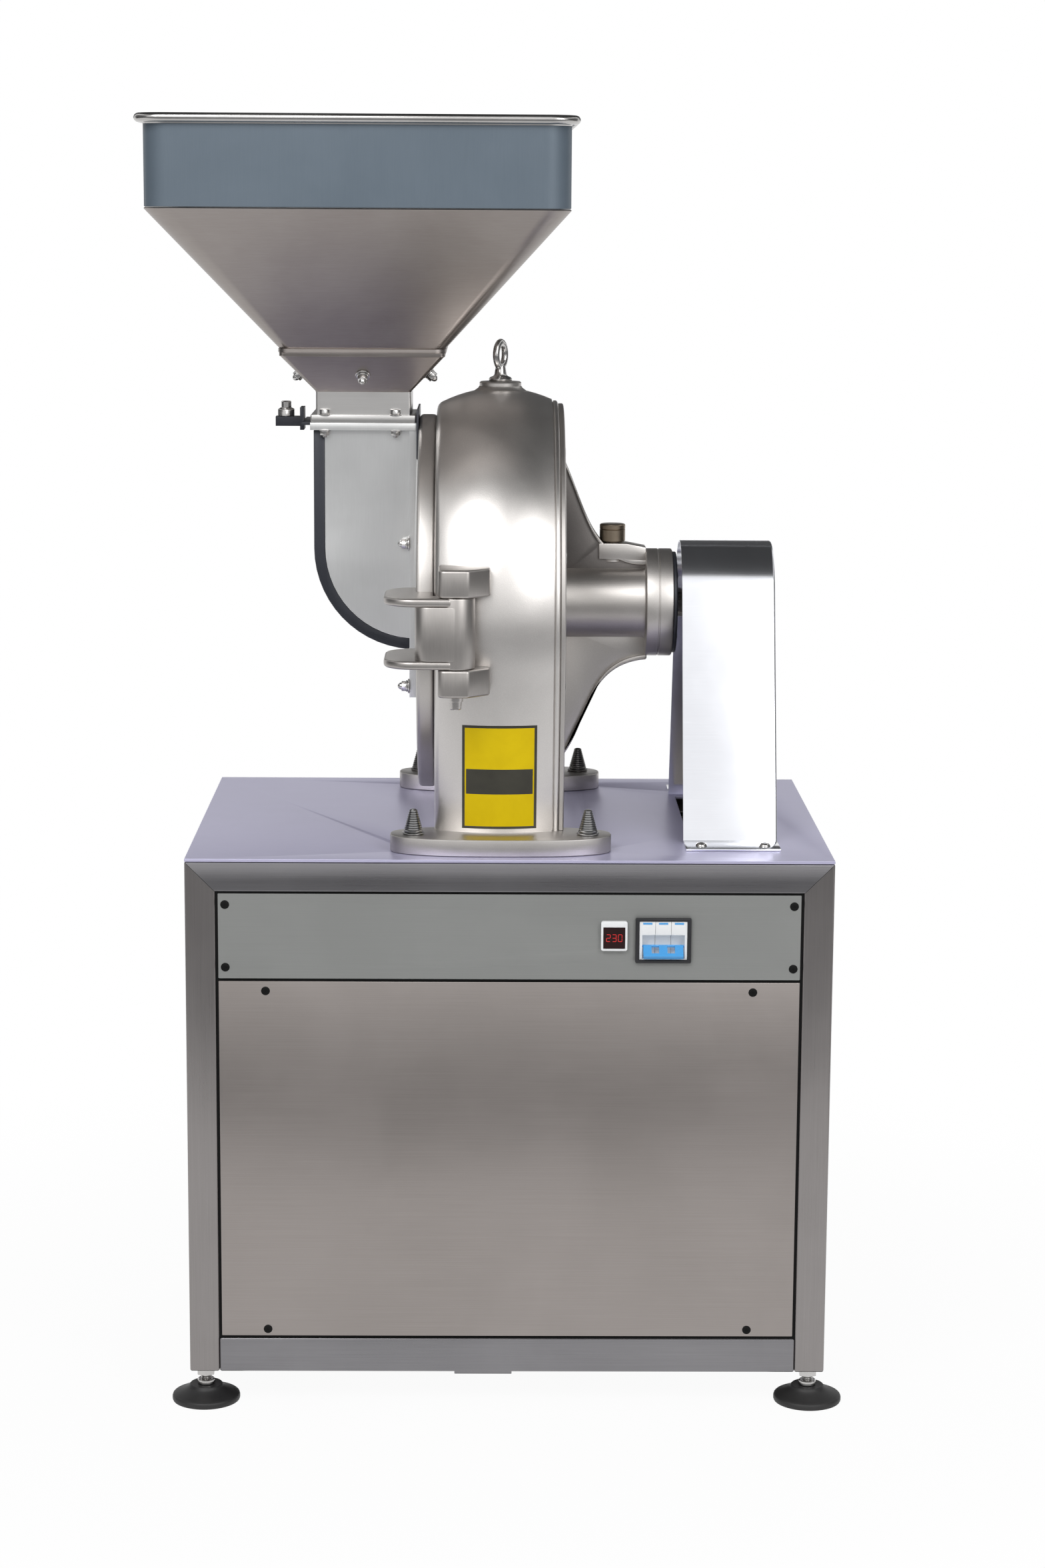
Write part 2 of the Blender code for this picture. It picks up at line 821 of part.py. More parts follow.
def belt_guard():
    outline = arch(guard_radius, guard_base_half, shaft_height, seat, 16)
    shape = prism("belt_guard", "X", outline, guard_left, guard_right)
    inner = prism(
        "guard hollow",
        "X",
        arch(guard_radius - guard_sheet, guard_base_half - guard_sheet, shaft_height, -0.01, 16),
        guard_left - 0.01,
        guard_right - guard_sheet,
    )
    feet = []
    for side in (-1, 1):
        near, far = side * (guard_base_half - 0.0015), side * (guard_base_half + guard_foot)
        low_corner = (guard_left, min(near, far), seat)
        high_corner = (guard_right, max(near, far), seat + guard_foot_sheet)
        feet.append(box(f"guard foot {side}", low_corner, high_corner))
    cut(shape, inner)
    join(shape, *feet)
    return finish(shape, *bright_steel, smooth=True)


# ---- Mill ----------------------------------------------------------------------------------------
def casing_outline(radius, steps):
    narrowing = casing_edge_radius + casing_crown - radius
    return arch(radius, casing_base_half - narrowing, shaft_height, seat, steps)


def crown_radius(x):
    """The casing's outer radius at a place along the shaft."""
    half = (casing_length + seat + wall_plate) / 2
    share = (x - casing_middle) / half
    return casing_edge_radius + casing_crown * (1 - share * share)


def foot_plan(side):
    """The full-cornered oval of one foot of the casing."""
    middle = side * (mill_foot_inner + mill_foot_outer) / 2
    half_y = (mill_foot_outer - mill_foot_inner) / 2
    points = []
    for i in range(mill_foot_steps):
        turn = 2 * math.pi * i / mill_foot_steps
        across, up = [
            math.copysign(abs(share) ** (2 / mill_foot_squareness), share)
            for share in (math.cos(turn), math.sin(turn))
        ]
        x = mill_foot_centre + across * mill_foot_length / 2
        points.append((x, middle + up * half_y))
    return points


def mill_casing():
    rings = []
    for degrees in (0, 22.5, 45, 67.5, 90):
        a = math.radians(degrees)
        x = casing_left + casing_fillet * (1 - math.cos(a))
        rings.append((x, crown_radius(x) - casing_fillet * (1 - math.sin(a))))
    middle_count = 6
    first = casing_left + casing_fillet
    for i in range(1, middle_count + 1):
        x = first + (casing_right - first) * i / middle_count
        rings.append((x, crown_radius(x)))
    loops = [[(x, y, z) for y, z in casing_outline(r, 30)] for x, r in rings]
    casing = solid("mill_casing", loops)

    feet = []
    for side in (-1, 1):
        feet.append(prism(f"mill foot {side}", "Z", foot_plan(side), seat, mill_foot_thickness))
    boss = turned(
        "lifting boss",
        "Z",
        (casing_middle, 0.0),
        ((lifting_boss_top - 0.030, lifting_boss_radius), (lifting_boss_top, lifting_boss_radius)),
        24,
    )
    lug_front = hinge_y - barrel_radius + 0.0005
    lug_plan = [
        (hinge_x - 0.0197, lug_front),
        (hinge_x + 0.0140, lug_front),
        (hinge_x + 0.0380, lug_front + 0.024),
        (hinge_x + 0.0380, -0.225),
        (hinge_x - 0.0197, -0.225),
    ]
    lugs = [
        prism("upper hinge lug", "Z", lug_plan, barrel_high + seat, barrel_high + seat + lug_height),
        prism("lower hinge lug", "Z", lug_plan, barrel_low - seat - lug_height, barrel_low - seat),
    ]
    clamp_lug = box(
        "clamp lug",
        (casing_left + 0.0005, 0.215, shaft_height - clamp_ear_half + 0.004),
        (casing_left + clamp_lug_depth, clamp_ear_end, shaft_height + clamp_ear_half - 0.004),
    )
    join(casing, *feet, boss, *lugs, clamp_lug)

    past = 0.01
    chamber = turned(
        "chamber",
        "X",
        (0.0, shaft_height),
        (
            (casing_left - past, chamber_radius),
            (casing_left + chamber_seat_width - 0.002, chamber_radius),
            (casing_left + chamber_seat_width, chamber_relief_radius),
            (casing_right - chamber_seat_width, chamber_relief_radius),
            (casing_right - chamber_seat_width + 0.002, chamber_radius),
            (casing_right + past, chamber_radius),
        ),
        chamber_steps,
    )
    drop = box(
        "casing discharge",
        (chamber_middle - chute_opening_length / 2, -chute_opening_width / 2, -past),
        (chamber_middle + chute_opening_length / 2, chute_opening_width / 2, 0.10),
    )
    pin_room = hinge_pin_radius + seat
    pin_hole = turned(
        "hinge pin hole",
        "Z",
        (hinge_x, hinge_y),
        ((0.10, pin_room), (barrel_high + seat + lug_height - 0.006, pin_room)),
        16,
    )
    eye_hole = turned(
        "eye bolt hole",
        "Z",
        (casing_middle, 0.0),
        (
            (lifting_boss_top - eye_thread_depth - 0.001, eye_thread_radius + seat),
            (lifting_boss_top + past, eye_thread_radius + seat),
        ),
        12,
    )
    socket = turned(
        "clamp socket",
        "X",
        (clamp_y, shaft_height),
        (
            (casing_left - past, clamp_socket_radius),
            (casing_left + clamp_reach + 0.002, clamp_socket_radius),
        ),
        16,
    )
    hole = base_bolt_radius + seat
    bolt_holes = [
        turned(f"foot bolt hole {i}", "Z", spot, ((-past, hole), (0.03, hole)), 14)
        for i, spot in enumerate(base_bolt_places())
    ]
    cut(casing, chamber, drop, pin_hole, eye_hole, socket, *bolt_holes)
    return finish(casing, *cast_steel, smooth=True)


def base_bolt(name, x, y):
    top = mill_foot_thickness + seat
    shape = turned(
        "base_bolt_" + name,
        "Z",
        (x, y),
        (
            (-table_plate - 0.010 - seat, base_nut_radius),
            (-table_plate - seat, base_nut_radius),
            (-table_plate - seat, base_bolt_radius),
            (top, base_bolt_radius),
            (top, base_nut_radius),
            (top + 0.002, base_nut_radius),
            (top + 0.002, base_nut_radius - 0.0015),
            (top + base_nut_height, base_nut_radius - 0.0025),
            (top + base_nut_height, base_bolt_radius),
            (top + base_bolt_stand - 0.003, base_bolt_radius),
            (top + base_bolt_stand, base_bolt_radius - 0.002),
        ),
        12,
    )
    return finish(shape, *bright_steel, smooth=True)


def eye_bolt():
    shape = turned(
        "eye_bolt",
        "Z",
        (casing_middle, 0.0),
        (
            (lifting_boss_top - eye_thread_depth, eye_thread_radius),
            (lifting_boss_top + seat, eye_thread_radius),
            (lifting_boss_top + seat, eye_collar_radius),
            (lifting_boss_top + eye_collar_height - 0.004, eye_collar_radius),
            (lifting_boss_top + eye_collar_height + 0.002, 0.005),
        ),
        16,
    )
    rise = 1.25
    middle = lifting_boss_top + eye_collar_height + eye_ring_radius * rise - 0.001
    ring_steps, wire_steps = 20, 8
    rings = []
    for i in range(ring_steps):
        a = 2 * math.pi * i / ring_steps
        ring = []
        for j in range(wire_steps):
            b = 2 * math.pi * j / wire_steps
            out = eye_ring_radius + eye_ring_wire * math.cos(b) - eye_ring_wire
            across = out * math.cos(a)
            aside = eye_ring_wire * math.sin(b)
            ring.append(
                (
                    casing_middle + across * math.cos(eye_turn) - aside * math.sin(eye_turn),
                    across * math.sin(eye_turn) + aside * math.cos(eye_turn),
                    middle + out * rise * math.sin(a),
                )
            )
        rings.append(ring)
    join(shape, solid("eye ring", rings, closed=True))
    return finish(shape, *bright_steel, smooth=True)


def wear_liner():
    edge = 0.0006
    outer = chamber_flat
    middle = (0.0, shaft_height)
    inner = outer - liner_thickness
    outline = arc(middle, outer, 3, 177, 26) + arc(middle, inner, 177, 3, 26)
    shape = prism("wear_liner", "X", outline, casing_left + edge, casing_right - edge)
    return finish(shape, (0.45, 0.45, 0.46), 1.0, 0.5, smooth=True)


def screen_ring():
    edge = 0.0006
    outer = chamber_flat
    middle = (0.0, shaft_height)
    outline = arc(middle, outer, 181, 359, 28) + arc(middle, outer - screen_sheet, 359, 181, 28)
    shape = prism("screen_ring", "X", outline, casing_left + edge, casing_right - edge)
    return finish(shape, (0.62, 0.62, 0.62), 1.0, 0.4, smooth=True)


def upper_rib():
    root = wall_right - 0.002
    tip = housing_ring_start + 0.002
    start = (wall_right + 0.002, shaft_height + upper_rib_rise[0])
    end = (tip, shaft_height + upper_rib_rise[1])
    knots = [(x, shaft_height + z) for x, z in upper_rib_knots]
    curve = bezier(start, *knots, end, 8)
    return curve, [(tip, shaft_height + 0.03), (root, shaft_height + 0.03)]


def lower_rib():
    root = wall_right - 0.002
    tip = housing_ring_start + 0.002
    start = (wall_right + 0.002, shaft_height - lower_rib_drop[0])
    end = (tip, shaft_height - lower_rib_drop[1])
    knots = [(x, shaft_height - z) for x, z in lower_rib_knots]
    curve = bezier(start, *knots, end, 8)
    return curve, [(tip, shaft_height - 0.03), (root, shaft_height - 0.03)]


def bearing_housing():
    edge = 0.0015
    rings = [
        [(x, y, z) for y, z in casing_outline(r, 30)]
        for x, r in (
            (wall_left, casing_edge_radius + 0.0015),
            (wall_right - edge, casing_edge_radius + 0.0015),
            (wall_right, casing_edge_radius + 0.0015 - edge),
        )
    ]
    housing = solid("bearing_housing", rings)
    centre = (0.0, shaft_height)
    barrel = turned(
        "housing barrel",
        "X",
        centre,
        (
            (wall_right - 0.003, housing_tube_radius),
            (housing_ring_start, housing_tube_radius),
            (housing_ring_start, housing_ring_radius - 0.001),
            (housing_ring_start + 0.001, housing_ring_radius),
            (housing_ring_end - 0.002, housing_ring_radius),
            (housing_ring_end, housing_ring_radius - 0.002),
        ),
        36,
    )
    ribs = []
    for name, (curve, back) in (("upper rib", upper_rib()), ("lower rib", lower_rib())):
        ribs.append(prism(name, "Y", curve + back, -rib_half, rib_half))
        sign = -1 if name == "upper rib" else 1
        inner = [(x, z + sign * rib_lip) for x, z in curve]
        ribs.append(prism(name + " lip", "Y", curve + inner[::-1], -rib_lip_half, rib_lip_half))
    boss = turned(
        "lubricator boss",
        "Z",
        (lubricator_x, lubricator_y),
        ((shaft_height + 0.030, lubricator_boss_radius), (lubricator_seat, lubricator_boss_radius)),
        20,
    )
    join(housing, barrel, *ribs, boss)
    past = 0.01
    through = ((wall_left - past, housing_bore), (housing_ring_end + past, housing_bore))
    bore = turned("housing bore", "X", centre, through, 32)
    stem_hole = turned(
        "lubricator hole",
        "Z",
        (lubricator_x, lubricator_y),
        (
            (lubricator_seat - lubricator_hole_depth - 0.001, lubricator_stem + seat),
            (lubricator_seat + 0.02, lubricator_stem + seat),
        ),
        20,
    )
    pocket = turned(
        "lubricator pocket",
        "Z",
        (lubricator_x, lubricator_y),
        (
            (lubricator_seat, lubricator_radius + lubricator_room),
            (lubricator_seat + 0.10, lubricator_radius + lubricator_room),
        ),
        28,
    )
    step = box(
        "room for the mill feet",
        (wall_left - past, -1.0, -1.0),
        (wall_right + past, 1.0, mill_foot_thickness + seat),
    )
    cut(housing, bore, stem_hole, pocket, step)
    return finish(housing, *cast_steel, smooth=True)


def bearing(name, start):
    """A sealed ball bearing, drawn as one ring with the step between its races."""
    inner, outer = rotor_shaft_radius + seat, housing_bore - seat
    end = start + bearing_width
    step = 0.001
    shape = turned(
        name,
        "X",
        (0.0, shaft_height),
        (
            (start, inner),
            (start, inner + 0.004),
            (start + step, inner + 0.0045),
            (start + step, outer - 0.0045),
            (start, outer - 0.004),
            (start, outer),
            (end, outer),
            (end, outer - 0.004),
            (end - step, outer - 0.0045),
            (end - step, inner + 0.0045),
            (end, inner + 0.004),
            (end, inner),
        ),
        24,
        closed=True,
    )
    return finish(shape, *bright_steel, smooth=True)


def bearing_cap():
    start = housing_ring_end + seat
    end = start + cap_thickness
    hole = rotor_shaft_radius + seat
    shape = turned(
        "bearing_cap",
        "X",
        (0.0, shaft_height),
        (
            (start, hole),
            (start, cap_radius),
            (end - 0.001, cap_radius),
            (end, cap_radius - 0.001),
            (end, hole),
        ),
        32,
        closed=True,
    )
    return finish(shape, *dark_steel, smooth=True)


def rotor_shaft():
    shape = turned(
        "rotor_shaft",
        "X",
        (0.0, shaft_height),
        (
            (rotor_left - 0.010, rotor_shaft_radius - 0.002),
            (rotor_left - 0.008, rotor_shaft_radius),
            (housing_ring_end + cap_thickness + 0.010, rotor_shaft_radius),
            (housing_ring_end + cap_thickness + 0.010, drive_end_radius),
            (rotor_shaft_end - 0.0015, drive_end_radius),
            (rotor_shaft_end, drive_end_radius - 0.0015),
        ),
        28,
    )
    return finish(shape, *bright_steel, smooth=True)


def hammer_angles():
    return [90 * i for i in range(4)]


def hammer_pin_place(angle):
    a = math.radians(angle)
    return (hammer_pin_circle * math.cos(a), shaft_height + hammer_pin_circle * math.sin(a))


def rotor_hub():
    inner = rotor_shaft_radius + seat
    shape = turned(
        "rotor_hub",
        "X",
        (0.0, shaft_height),
        (
            (rotor_left, inner),
            (rotor_left, disc_radius),
            (rotor_left + disc_thickness, disc_radius),
            (rotor_left + disc_thickness, hub_radius),
            (rotor_right - disc_thickness, hub_radius),
            (rotor_right - disc_thickness, disc_radius),
            (rotor_right, disc_radius),
            (rotor_right, inner),
        ),
        36,
        closed=True,
    )
    holes = [
        turned(
            f"pin hole {angle}",
            "X",
            hammer_pin_place(angle),
            (
                (rotor_left - 0.01, hammer_pin_radius + hammer_pin_play),
                (rotor_right + 0.01, hammer_pin_radius + hammer_pin_play),
            ),
            10,
        )
        for angle in hammer_angles()
    ]
    cut(shape, *holes)
    return finish(shape, (0.50, 0.50, 0.52), 1.0, 0.4, smooth=True)


def hammer_row(number, angle):
    """Hammers on their pin, hanging straight down from it."""
    y, z = hammer_pin_place(angle)
    tube_start = rotor_left + disc_thickness + 0.0006
    tube_end = rotor_right - disc_thickness - 0.0006
    pin_out = 0.003
    shape = turned(
        f"hammer_row_{number}",
        "X",
        (y, z),
        (
            (rotor_left - pin_out, hammer_pin_radius),
            (tube_start, hammer_pin_radius),
            (tube_start, hammer_tube_radius),
            (tube_end, hammer_tube_radius),
            (tube_end, hammer_pin_radius),
            (rotor_right + pin_out, hammer_pin_radius),
        ),
        10,
    )
    room = tube_end - tube_start
    plates = []
    for i in range(hammers_in_row):
        middle = tube_start + room * (i + 0.5) / hammers_in_row
        plates.append(
            box(
                f"hammer {number} {i}",
                (middle - hammer_sheet / 2, y - hammer_width / 2, z - hammer_length),
                (middle + hammer_sheet / 2, y + hammer_width / 2, z + hammer_tail),
            )
        )
    join(shape, *plates)
    return finish(shape, (0.42, 0.41, 0.40), 1.0, 0.45)


def grease_cup():
    top = lubricator_low + lubricator_height
    shape = turned(
        "grease_cup",
        "Z",
        (lubricator_x, lubricator_y),
        (
            (lubricator_seat - lubricator_hole_depth, lubricator_stem),
            (lubricator_low, lubricator_stem),
            (lubricator_low, lubricator_radius - 0.001),
            (lubricator_low + 0.001, lubricator_radius),
            (top - 0.0015, lubricator_radius),
            (top, lubricator_radius - 0.0015),
        ),
        20,
    )
    return finish(shape, (0.62, 0.56, 0.46), 1.0, 0.35, smooth=True)


# ---- Door, chute, gate and hopper ----------------------------------------------------------------
def door():
    shape = turned(
        "door",
        "X",
        (0.0, shaft_height),
        (
            (door_left, door_radius - door_rim_round),
            (door_left + door_rim_round, door_radius),
            (door_right - door_rim_round, door_radius),
            (door_right, door_radius - door_rim_round),
        ),
        48,
    )
    front = hinge_y - barrel_radius
    rear_of_arm = hinge_y + 0.011
    ear_tip = door_left - ear_reach
    arm_plan = [
        (hinge_x, front),
        (door_left, front),
        (door_left, -0.200),
        (door_right - 0.0005, -0.200),
        (door_right - 0.0005, rear_of_arm),
        (hinge_x, rear_of_arm),
    ]
    ear_x, ear_root = ear_tip + ear_corner, door_right - 0.0007
    ear_plan = (
        [(hinge_x, front + 0.0002)]
        + arc((ear_x, front + 0.0002 + ear_corner), ear_corner, 270, 180, 8)
        + arc((ear_x, ear_rear - ear_corner), ear_corner, 180, 90, 8)
        + [(ear_root, ear_rear), (ear_root, rear_of_arm - 0.0002), (hinge_x, rear_of_arm - 0.0002)]
    )
    ends = ((barrel_low, barrel_radius), (barrel_high, barrel_radius))
    barrel = turned("hinge barrel", "Z", (hinge_x, hinge_y), ends, 28)
    arm = prism("hinge arm", "Z", arm_plan, barrel_low + 0.0002, barrel_high - 0.0002)
    ears = [
        prism("upper ear", "Z", ear_plan, barrel_high - ear_thickness, barrel_high - 0.0001),
        prism("lower ear", "Z", ear_plan, barrel_low + 0.0001, barrel_low + ear_thickness),
    ]
    clamp_plan = (
        [(0.180, shaft_height - clamp_ear_half)]
        + arc((clamp_ear_end - clamp_ear_half, shaft_height), clamp_ear_half, 270, 450, 14)
        + [(0.180, shaft_height + clamp_ear_half)]
    )
    clamp_ear = prism("clamp ear", "X", clamp_plan, door_left + 0.0005, door_right - 0.0005)
    join(shape, barrel, arm, *ears, clamp_ear)
    past = 0.01
    start, end = door_left - past, door_right + past
    inlet = box("door inlet", (start, -inlet_half, inlet_low), (end, inlet_half, inlet_high))
    pin_hole = turned(
        "barrel bore",
        "Z",
        (hinge_x, hinge_y),
        ((barrel_low - past, hinge_pin_radius + seat), (barrel_high + past, hinge_pin_radius + seat)),
        16,
    )
    clamp_hole = turned(
        "clamp hole",
        "X",
        (clamp_y, shaft_height),
        ((start, clamp_screw_radius + seat), (end, clamp_screw_radius + seat)),
        16,
    )
    cut(shape, inlet, pin_hole, clamp_hole)
    return finish(shape, *cast_steel, smooth=True)


def hinge_pin():
    low = barrel_low - seat - lug_height - hinge_pin_drop
    high = barrel_high + seat + lug_height - 0.007
    shape = turned(
        "hinge_pin",
        "Z",
        (hinge_x, hinge_y),
        ((low, hinge_pin_radius - 0.002), (low + 0.003, hinge_pin_radius), (high, hinge_pin_radius)),
        16,
    )
    return finish(shape, *bright_steel, smooth=True)


def clamp_screw():
    face = door_left + 0.0005 - seat
    lobes = 6
    knob = []
    for i in range(36):
        a = 2 * math.pi * i / 36
        r = clamp_knob_radius - 0.002 * (1 - math.cos(lobes * a))
        knob.append((clamp_y + r * math.cos(a), shaft_height + r * math.sin(a)))
    shape = prism("clamp_screw", "X", knob, face - clamp_knob_length, face - 0.008)
    stem = turned(
        "clamp stem",
        "X",
        (clamp_y, shaft_height),
        (
            (face - 0.012, 0.011),
            (face, 0.011),
            (face, clamp_screw_radius),
            (casing_left + clamp_reach - 0.002, clamp_screw_radius),
            (casing_left + clamp_reach, clamp_screw_radius - 0.002),
        ),
        14,
    )
    join(shape, stem)
    return finish(shape, *black_plastic, smooth=True)


def bend_outline(radius, right):
    """The chute's outer line: straight down, then a quarter turn to the door."""
    drop = math.degrees(math.acos(min(1.0, max(0.0, (bend_x - right) / radius))))
    return [(bend_x - radius, flange_low)] + arc((bend_x, chute_bend_height), radius, 180, 180 + drop, 14)


def feed_chute():
    inner_radius = chute_bend_radius - chute_band
    overlap = 0.0005
    outline = bend_outline(inner_radius, chute_face + overlap) + [(chute_face + overlap, flange_low)]
    shape = prism("feed_chute", "Y", outline, -chute_half, chute_half)
    plate = box(
        "chute plate",
        (chute_face, -chute_plate_half, chute_plate_low),
        (chute_right, chute_plate_half, flange_low + overlap),
    )
    flange = box(
        "lower flange",
        (flange_centre - flange_half, -flange_half, flange_low - overlap + 0.0005),
        (flange_centre + flange_half, flange_half, flange_joint),
    )
    join(shape, plate, flange)
    inner = chute_half - chute_sheet
    wall = chute_face - chute_sheet + overlap
    passage = box("chute passage", (-0.40, -inner, 0.10), (wall, inner, flange_low - 0.0002))
    mouth = box(
        "lower flange opening",
        (bend_x - inner_radius, -inner, flange_low - 0.01),
        (wall, inner, flange_joint + 0.01),
    )
    slot = box(
        "gate slot",
        (flange_centre - flange_half - 0.01, -gate_half - seat, flange_joint - gate_sheet - 2 * seat),
        (wall + 0.0050 + seat, gate_half + seat, flange_joint + 0.01),
    )
    end = chute_right + 0.01
    inlet = box("chute inlet", (wall - 0.01, -inlet_half, inlet_low), (end, inlet_half, inlet_high))
    cut(shape, passage, mouth, slot, inlet)
    return finish(shape, *sheet_steel, smooth=True)


def chute_band_strip():
    right = chute_face - seat
    outer = bend_outline(chute_bend_radius, right)
    inner = bend_outline(chute_bend_radius - chute_band + seat, right)
    outer[0] = (outer[0][0], flange_low - seat)
    inner[0] = (inner[0][0], flange_low - seat)
    shape = prism("chute_band", "Y", outer + inner[::-1], -chute_half, chute_half)
    return finish(shape, *dark_steel, smooth=True)


def gate_slide():
    low = flange_joint - gate_sheet - seat
    left = flange_centre - flange_half - gate_tail
    right = chute_face - chute_sheet + 0.0055
    plate = box("gate_slide", (left, -gate_half, low), (right, gate_half, low + gate_sheet))
    bracket = box(
        "gate bracket",
        (left - 0.004, -gate_bracket_half, low - 0.008),
        (left + 0.0005, gate_bracket_half, low - 0.008 + gate_bracket_height),
    )
    arm = box("gate arm", (left - gate_arm, -0.010, low - 0.004), (left - 0.003, 0.010, low + 0.007))
    join(plate, bracket, arm)
    hole = turned(
        "gate bolt hole",
        "Z",
        (left - gate_arm + 0.012, 0.0),
        ((low - 0.03, gate_bolt_radius + seat), (low + 0.03, gate_bolt_radius + seat)),
        12,
    )
    cut(plate, hole)
    return finish(plate, *dark_steel)


def gate_bolt_place():
    return (flange_centre - flange_half - gate_tail - gate_arm + 0.012, 0.0)


def gate_lock_bolt():
    low = flange_joint - gate_sheet - seat
    top = low + 0.007 + seat
    shape = turned(
        "gate_lock_bolt",
        "Z",
        gate_bolt_place(),
        (
            (low - 0.011, gate_bolt_radius),
            (top, gate_bolt_radius),
            (top, gate_knob_radius),
            (top + 0.0085, gate_knob_radius),
            (top + 0.0085, 0.0060),
            (top + 0.0175, 0.0060),
        ),
        12,
    )
    return finish(shape, *bright_steel, smooth=True)


def square_ring(half, corner, z, steps=4):
    outline = rounded((flange_centre - half, -half), (flange_centre + half, half), corner, steps)
    return [(x, y, z) for x, y in outline]


def hopper_neck():
    """Upper flange, neck and lower funnel, welded from sheet."""
    s = neck_sheet
    low = flange_joint + seat
    rings = [
        square_ring(flange_half - 0.0005, 0.002, low),
        square_ring(flange_half - 0.0005, 0.002, low + flange_thickness),
        square_ring(neck_half, 0.003, low + flange_thickness),
        square_ring(neck_half, 0.003, neck_top),
        square_ring(funnel_half, 0.010, funnel_top),
        square_ring(funnel_half + bead_overhang, 0.011, funnel_top),
        square_ring(funnel_half + bead_overhang, 0.011, funnel_top + bead_height),
        square_ring(funnel_half - s, 0.009, funnel_top + bead_height),
        square_ring(funnel_half - s, 0.009, funnel_top),
        square_ring(neck_half - s, 0.002, neck_top + s * 0.5),
        square_ring(neck_half - s, 0.002, low),
    ]
    shape = solid("hopper_neck", rings, closed=True)
    return finish(shape, *sheet_steel)


def hopper_cone():
    s = hopper_sheet
    low = funnel_top + bead_height + seat
    rings = [
        square_ring(cone_low_half + bead_overhang, 0.011, low),
        square_ring(cone_low_half + bead_overhang, 0.011, low + 0.0025),
        square_ring(cone_low_half, 0.012, low + 0.0045),
        square_ring(hopper_half, hopper_corner, cone_top),
        square_ring(hopper_half - s, hopper_corner - s, cone_top),
        square_ring(cone_low_half - s, 0.010, low + 0.0045),
        square_ring(cone_low_half - s, 0.010, low),
    ]
    shape = solid("hopper_cone", rings, closed=True)
    return finish(shape, *sheet_steel, smooth=True)


def hopper_band():
    """The upright band with its rolled rim."""
    s = hopper_sheet
    low = cone_top + seat
    rings = [
        square_ring(hopper_half - s, hopper_corner - s, low),
        square_ring(hopper_half + 0.0008, hopper_corner, low),
        square_ring(hopper_half + 0.0008, hopper_corner, hopper_top - 0.001),
    ]
    middle = hopper_half + rim_overhang - rim_radius
    for i in range(9):
        a = math.radians(-130 + 260 * i / 8)
        out = middle + rim_radius * math.cos(a)
        height = hopper_top + rim_radius + rim_radius * math.sin(a)
        rings.append(square_ring(out, hopper_corner + out - hopper_half, height))
    rings.append(square_ring(hopper_half - s, hopper_corner - s, hopper_top + rim_radius))
    shape = solid("hopper_band", rings, closed=True)
    return finish(shape, *blue_grey, smooth=True)


# ---- Discharge and instruments -------------------------------------------------------------------
def outlet_heights():
    """Lower and upper edges of the outlet at the rear panel."""
    run = half_depth - 0.0175 - discharge_half_y
    high = -discharge_straight - run
    return high - 2 * discharge_half_y, high


def discharge_chute():
    top = frame_top
    half = discharge_half_y
    end = half_depth + discharge_lip
    turn = half_depth - 0.0175
    outlet_low, outlet_high = outlet_heights()
    s = discharge_sheet
    outer = [
        (-half, top),
        (half, top),
        (half, -discharge_straight),
        (turn, outlet_high),
        (end, outlet_high),
        (end, outlet_low),
        (turn, outlet_low),
        (-half, -discharge_straight),
    ]
    lean = s * math.tan(math.radians(22.5))
    past = 0.02
    inner = [
        (-half + s, top + past),
        (half - s, top + past),
        (half - s, -discharge_straight - lean),
        (turn - lean, outlet_high - s),
        (end + past, outlet_high - s),
        (end + past, outlet_low + s),
        (turn + lean, outlet_low + s),
        (-half + s, -discharge_straight + lean),
    ]
    left, right = chamber_middle - discharge_half_x, chamber_middle + discharge_half_x
    shape = prism("discharge_chute", "X", outer, left, right)
    flange = box(
        "discharge flange",
        (left - discharge_flange, -half - discharge_flange, top - s),
        (right + discharge_flange, half + discharge_flange, top - 0.0001),
    )
    join(shape, flange)
    cut(shape, prism("discharge hollow", "X", inner, left + s, right - s))
    return finish(shape, *sheet_steel)


def meter():
    face = -(half_depth - panel_setback) - seat
    bezel = box(
        "meter_bezel",
        (meter_x - meter_width / 2, face - meter_stand, meter_z - meter_height / 2),
        (meter_x + meter_width / 2, face, meter_z + meter_height / 2),
    )
    inner_x = meter_width / 2 - 0.003 - seat
    inner_z = meter_height / 2 - 0.003 - seat
    body = box(
        "meter body",
        (meter_x - inner_x, face - 0.001, meter_z - inner_z),
        (meter_x + inner_x, face + meter_depth, meter_z + inner_z),
    )
    join(bezel, body)
    wx, wz = meter_window_width / 2, meter_window_height / 2
    recess, rise = meter_recess, meter_window_rise
    cut(
        bezel,
        box(
            "meter recess",
            (meter_x - wx, face - meter_stand - 0.01, meter_z - wz + rise),
            (meter_x + wx, face - meter_stand + recess, meter_z + wz + rise),
        ),
    )
    finish(bezel, (0.85, 0.85, 0.84), 0.0, 0.4)
    window = box(
        "meter_window",
        (meter_x - wx + seat, face - meter_stand + 0.0004, meter_z - wz + rise + seat),
        (meter_x + wx - seat, face - meter_stand + recess - seat, meter_z + wz + rise - seat),
    )
    finish(window, (0.25, 0.01, 0.02), 0.0, 0.1)
    return bezel, window


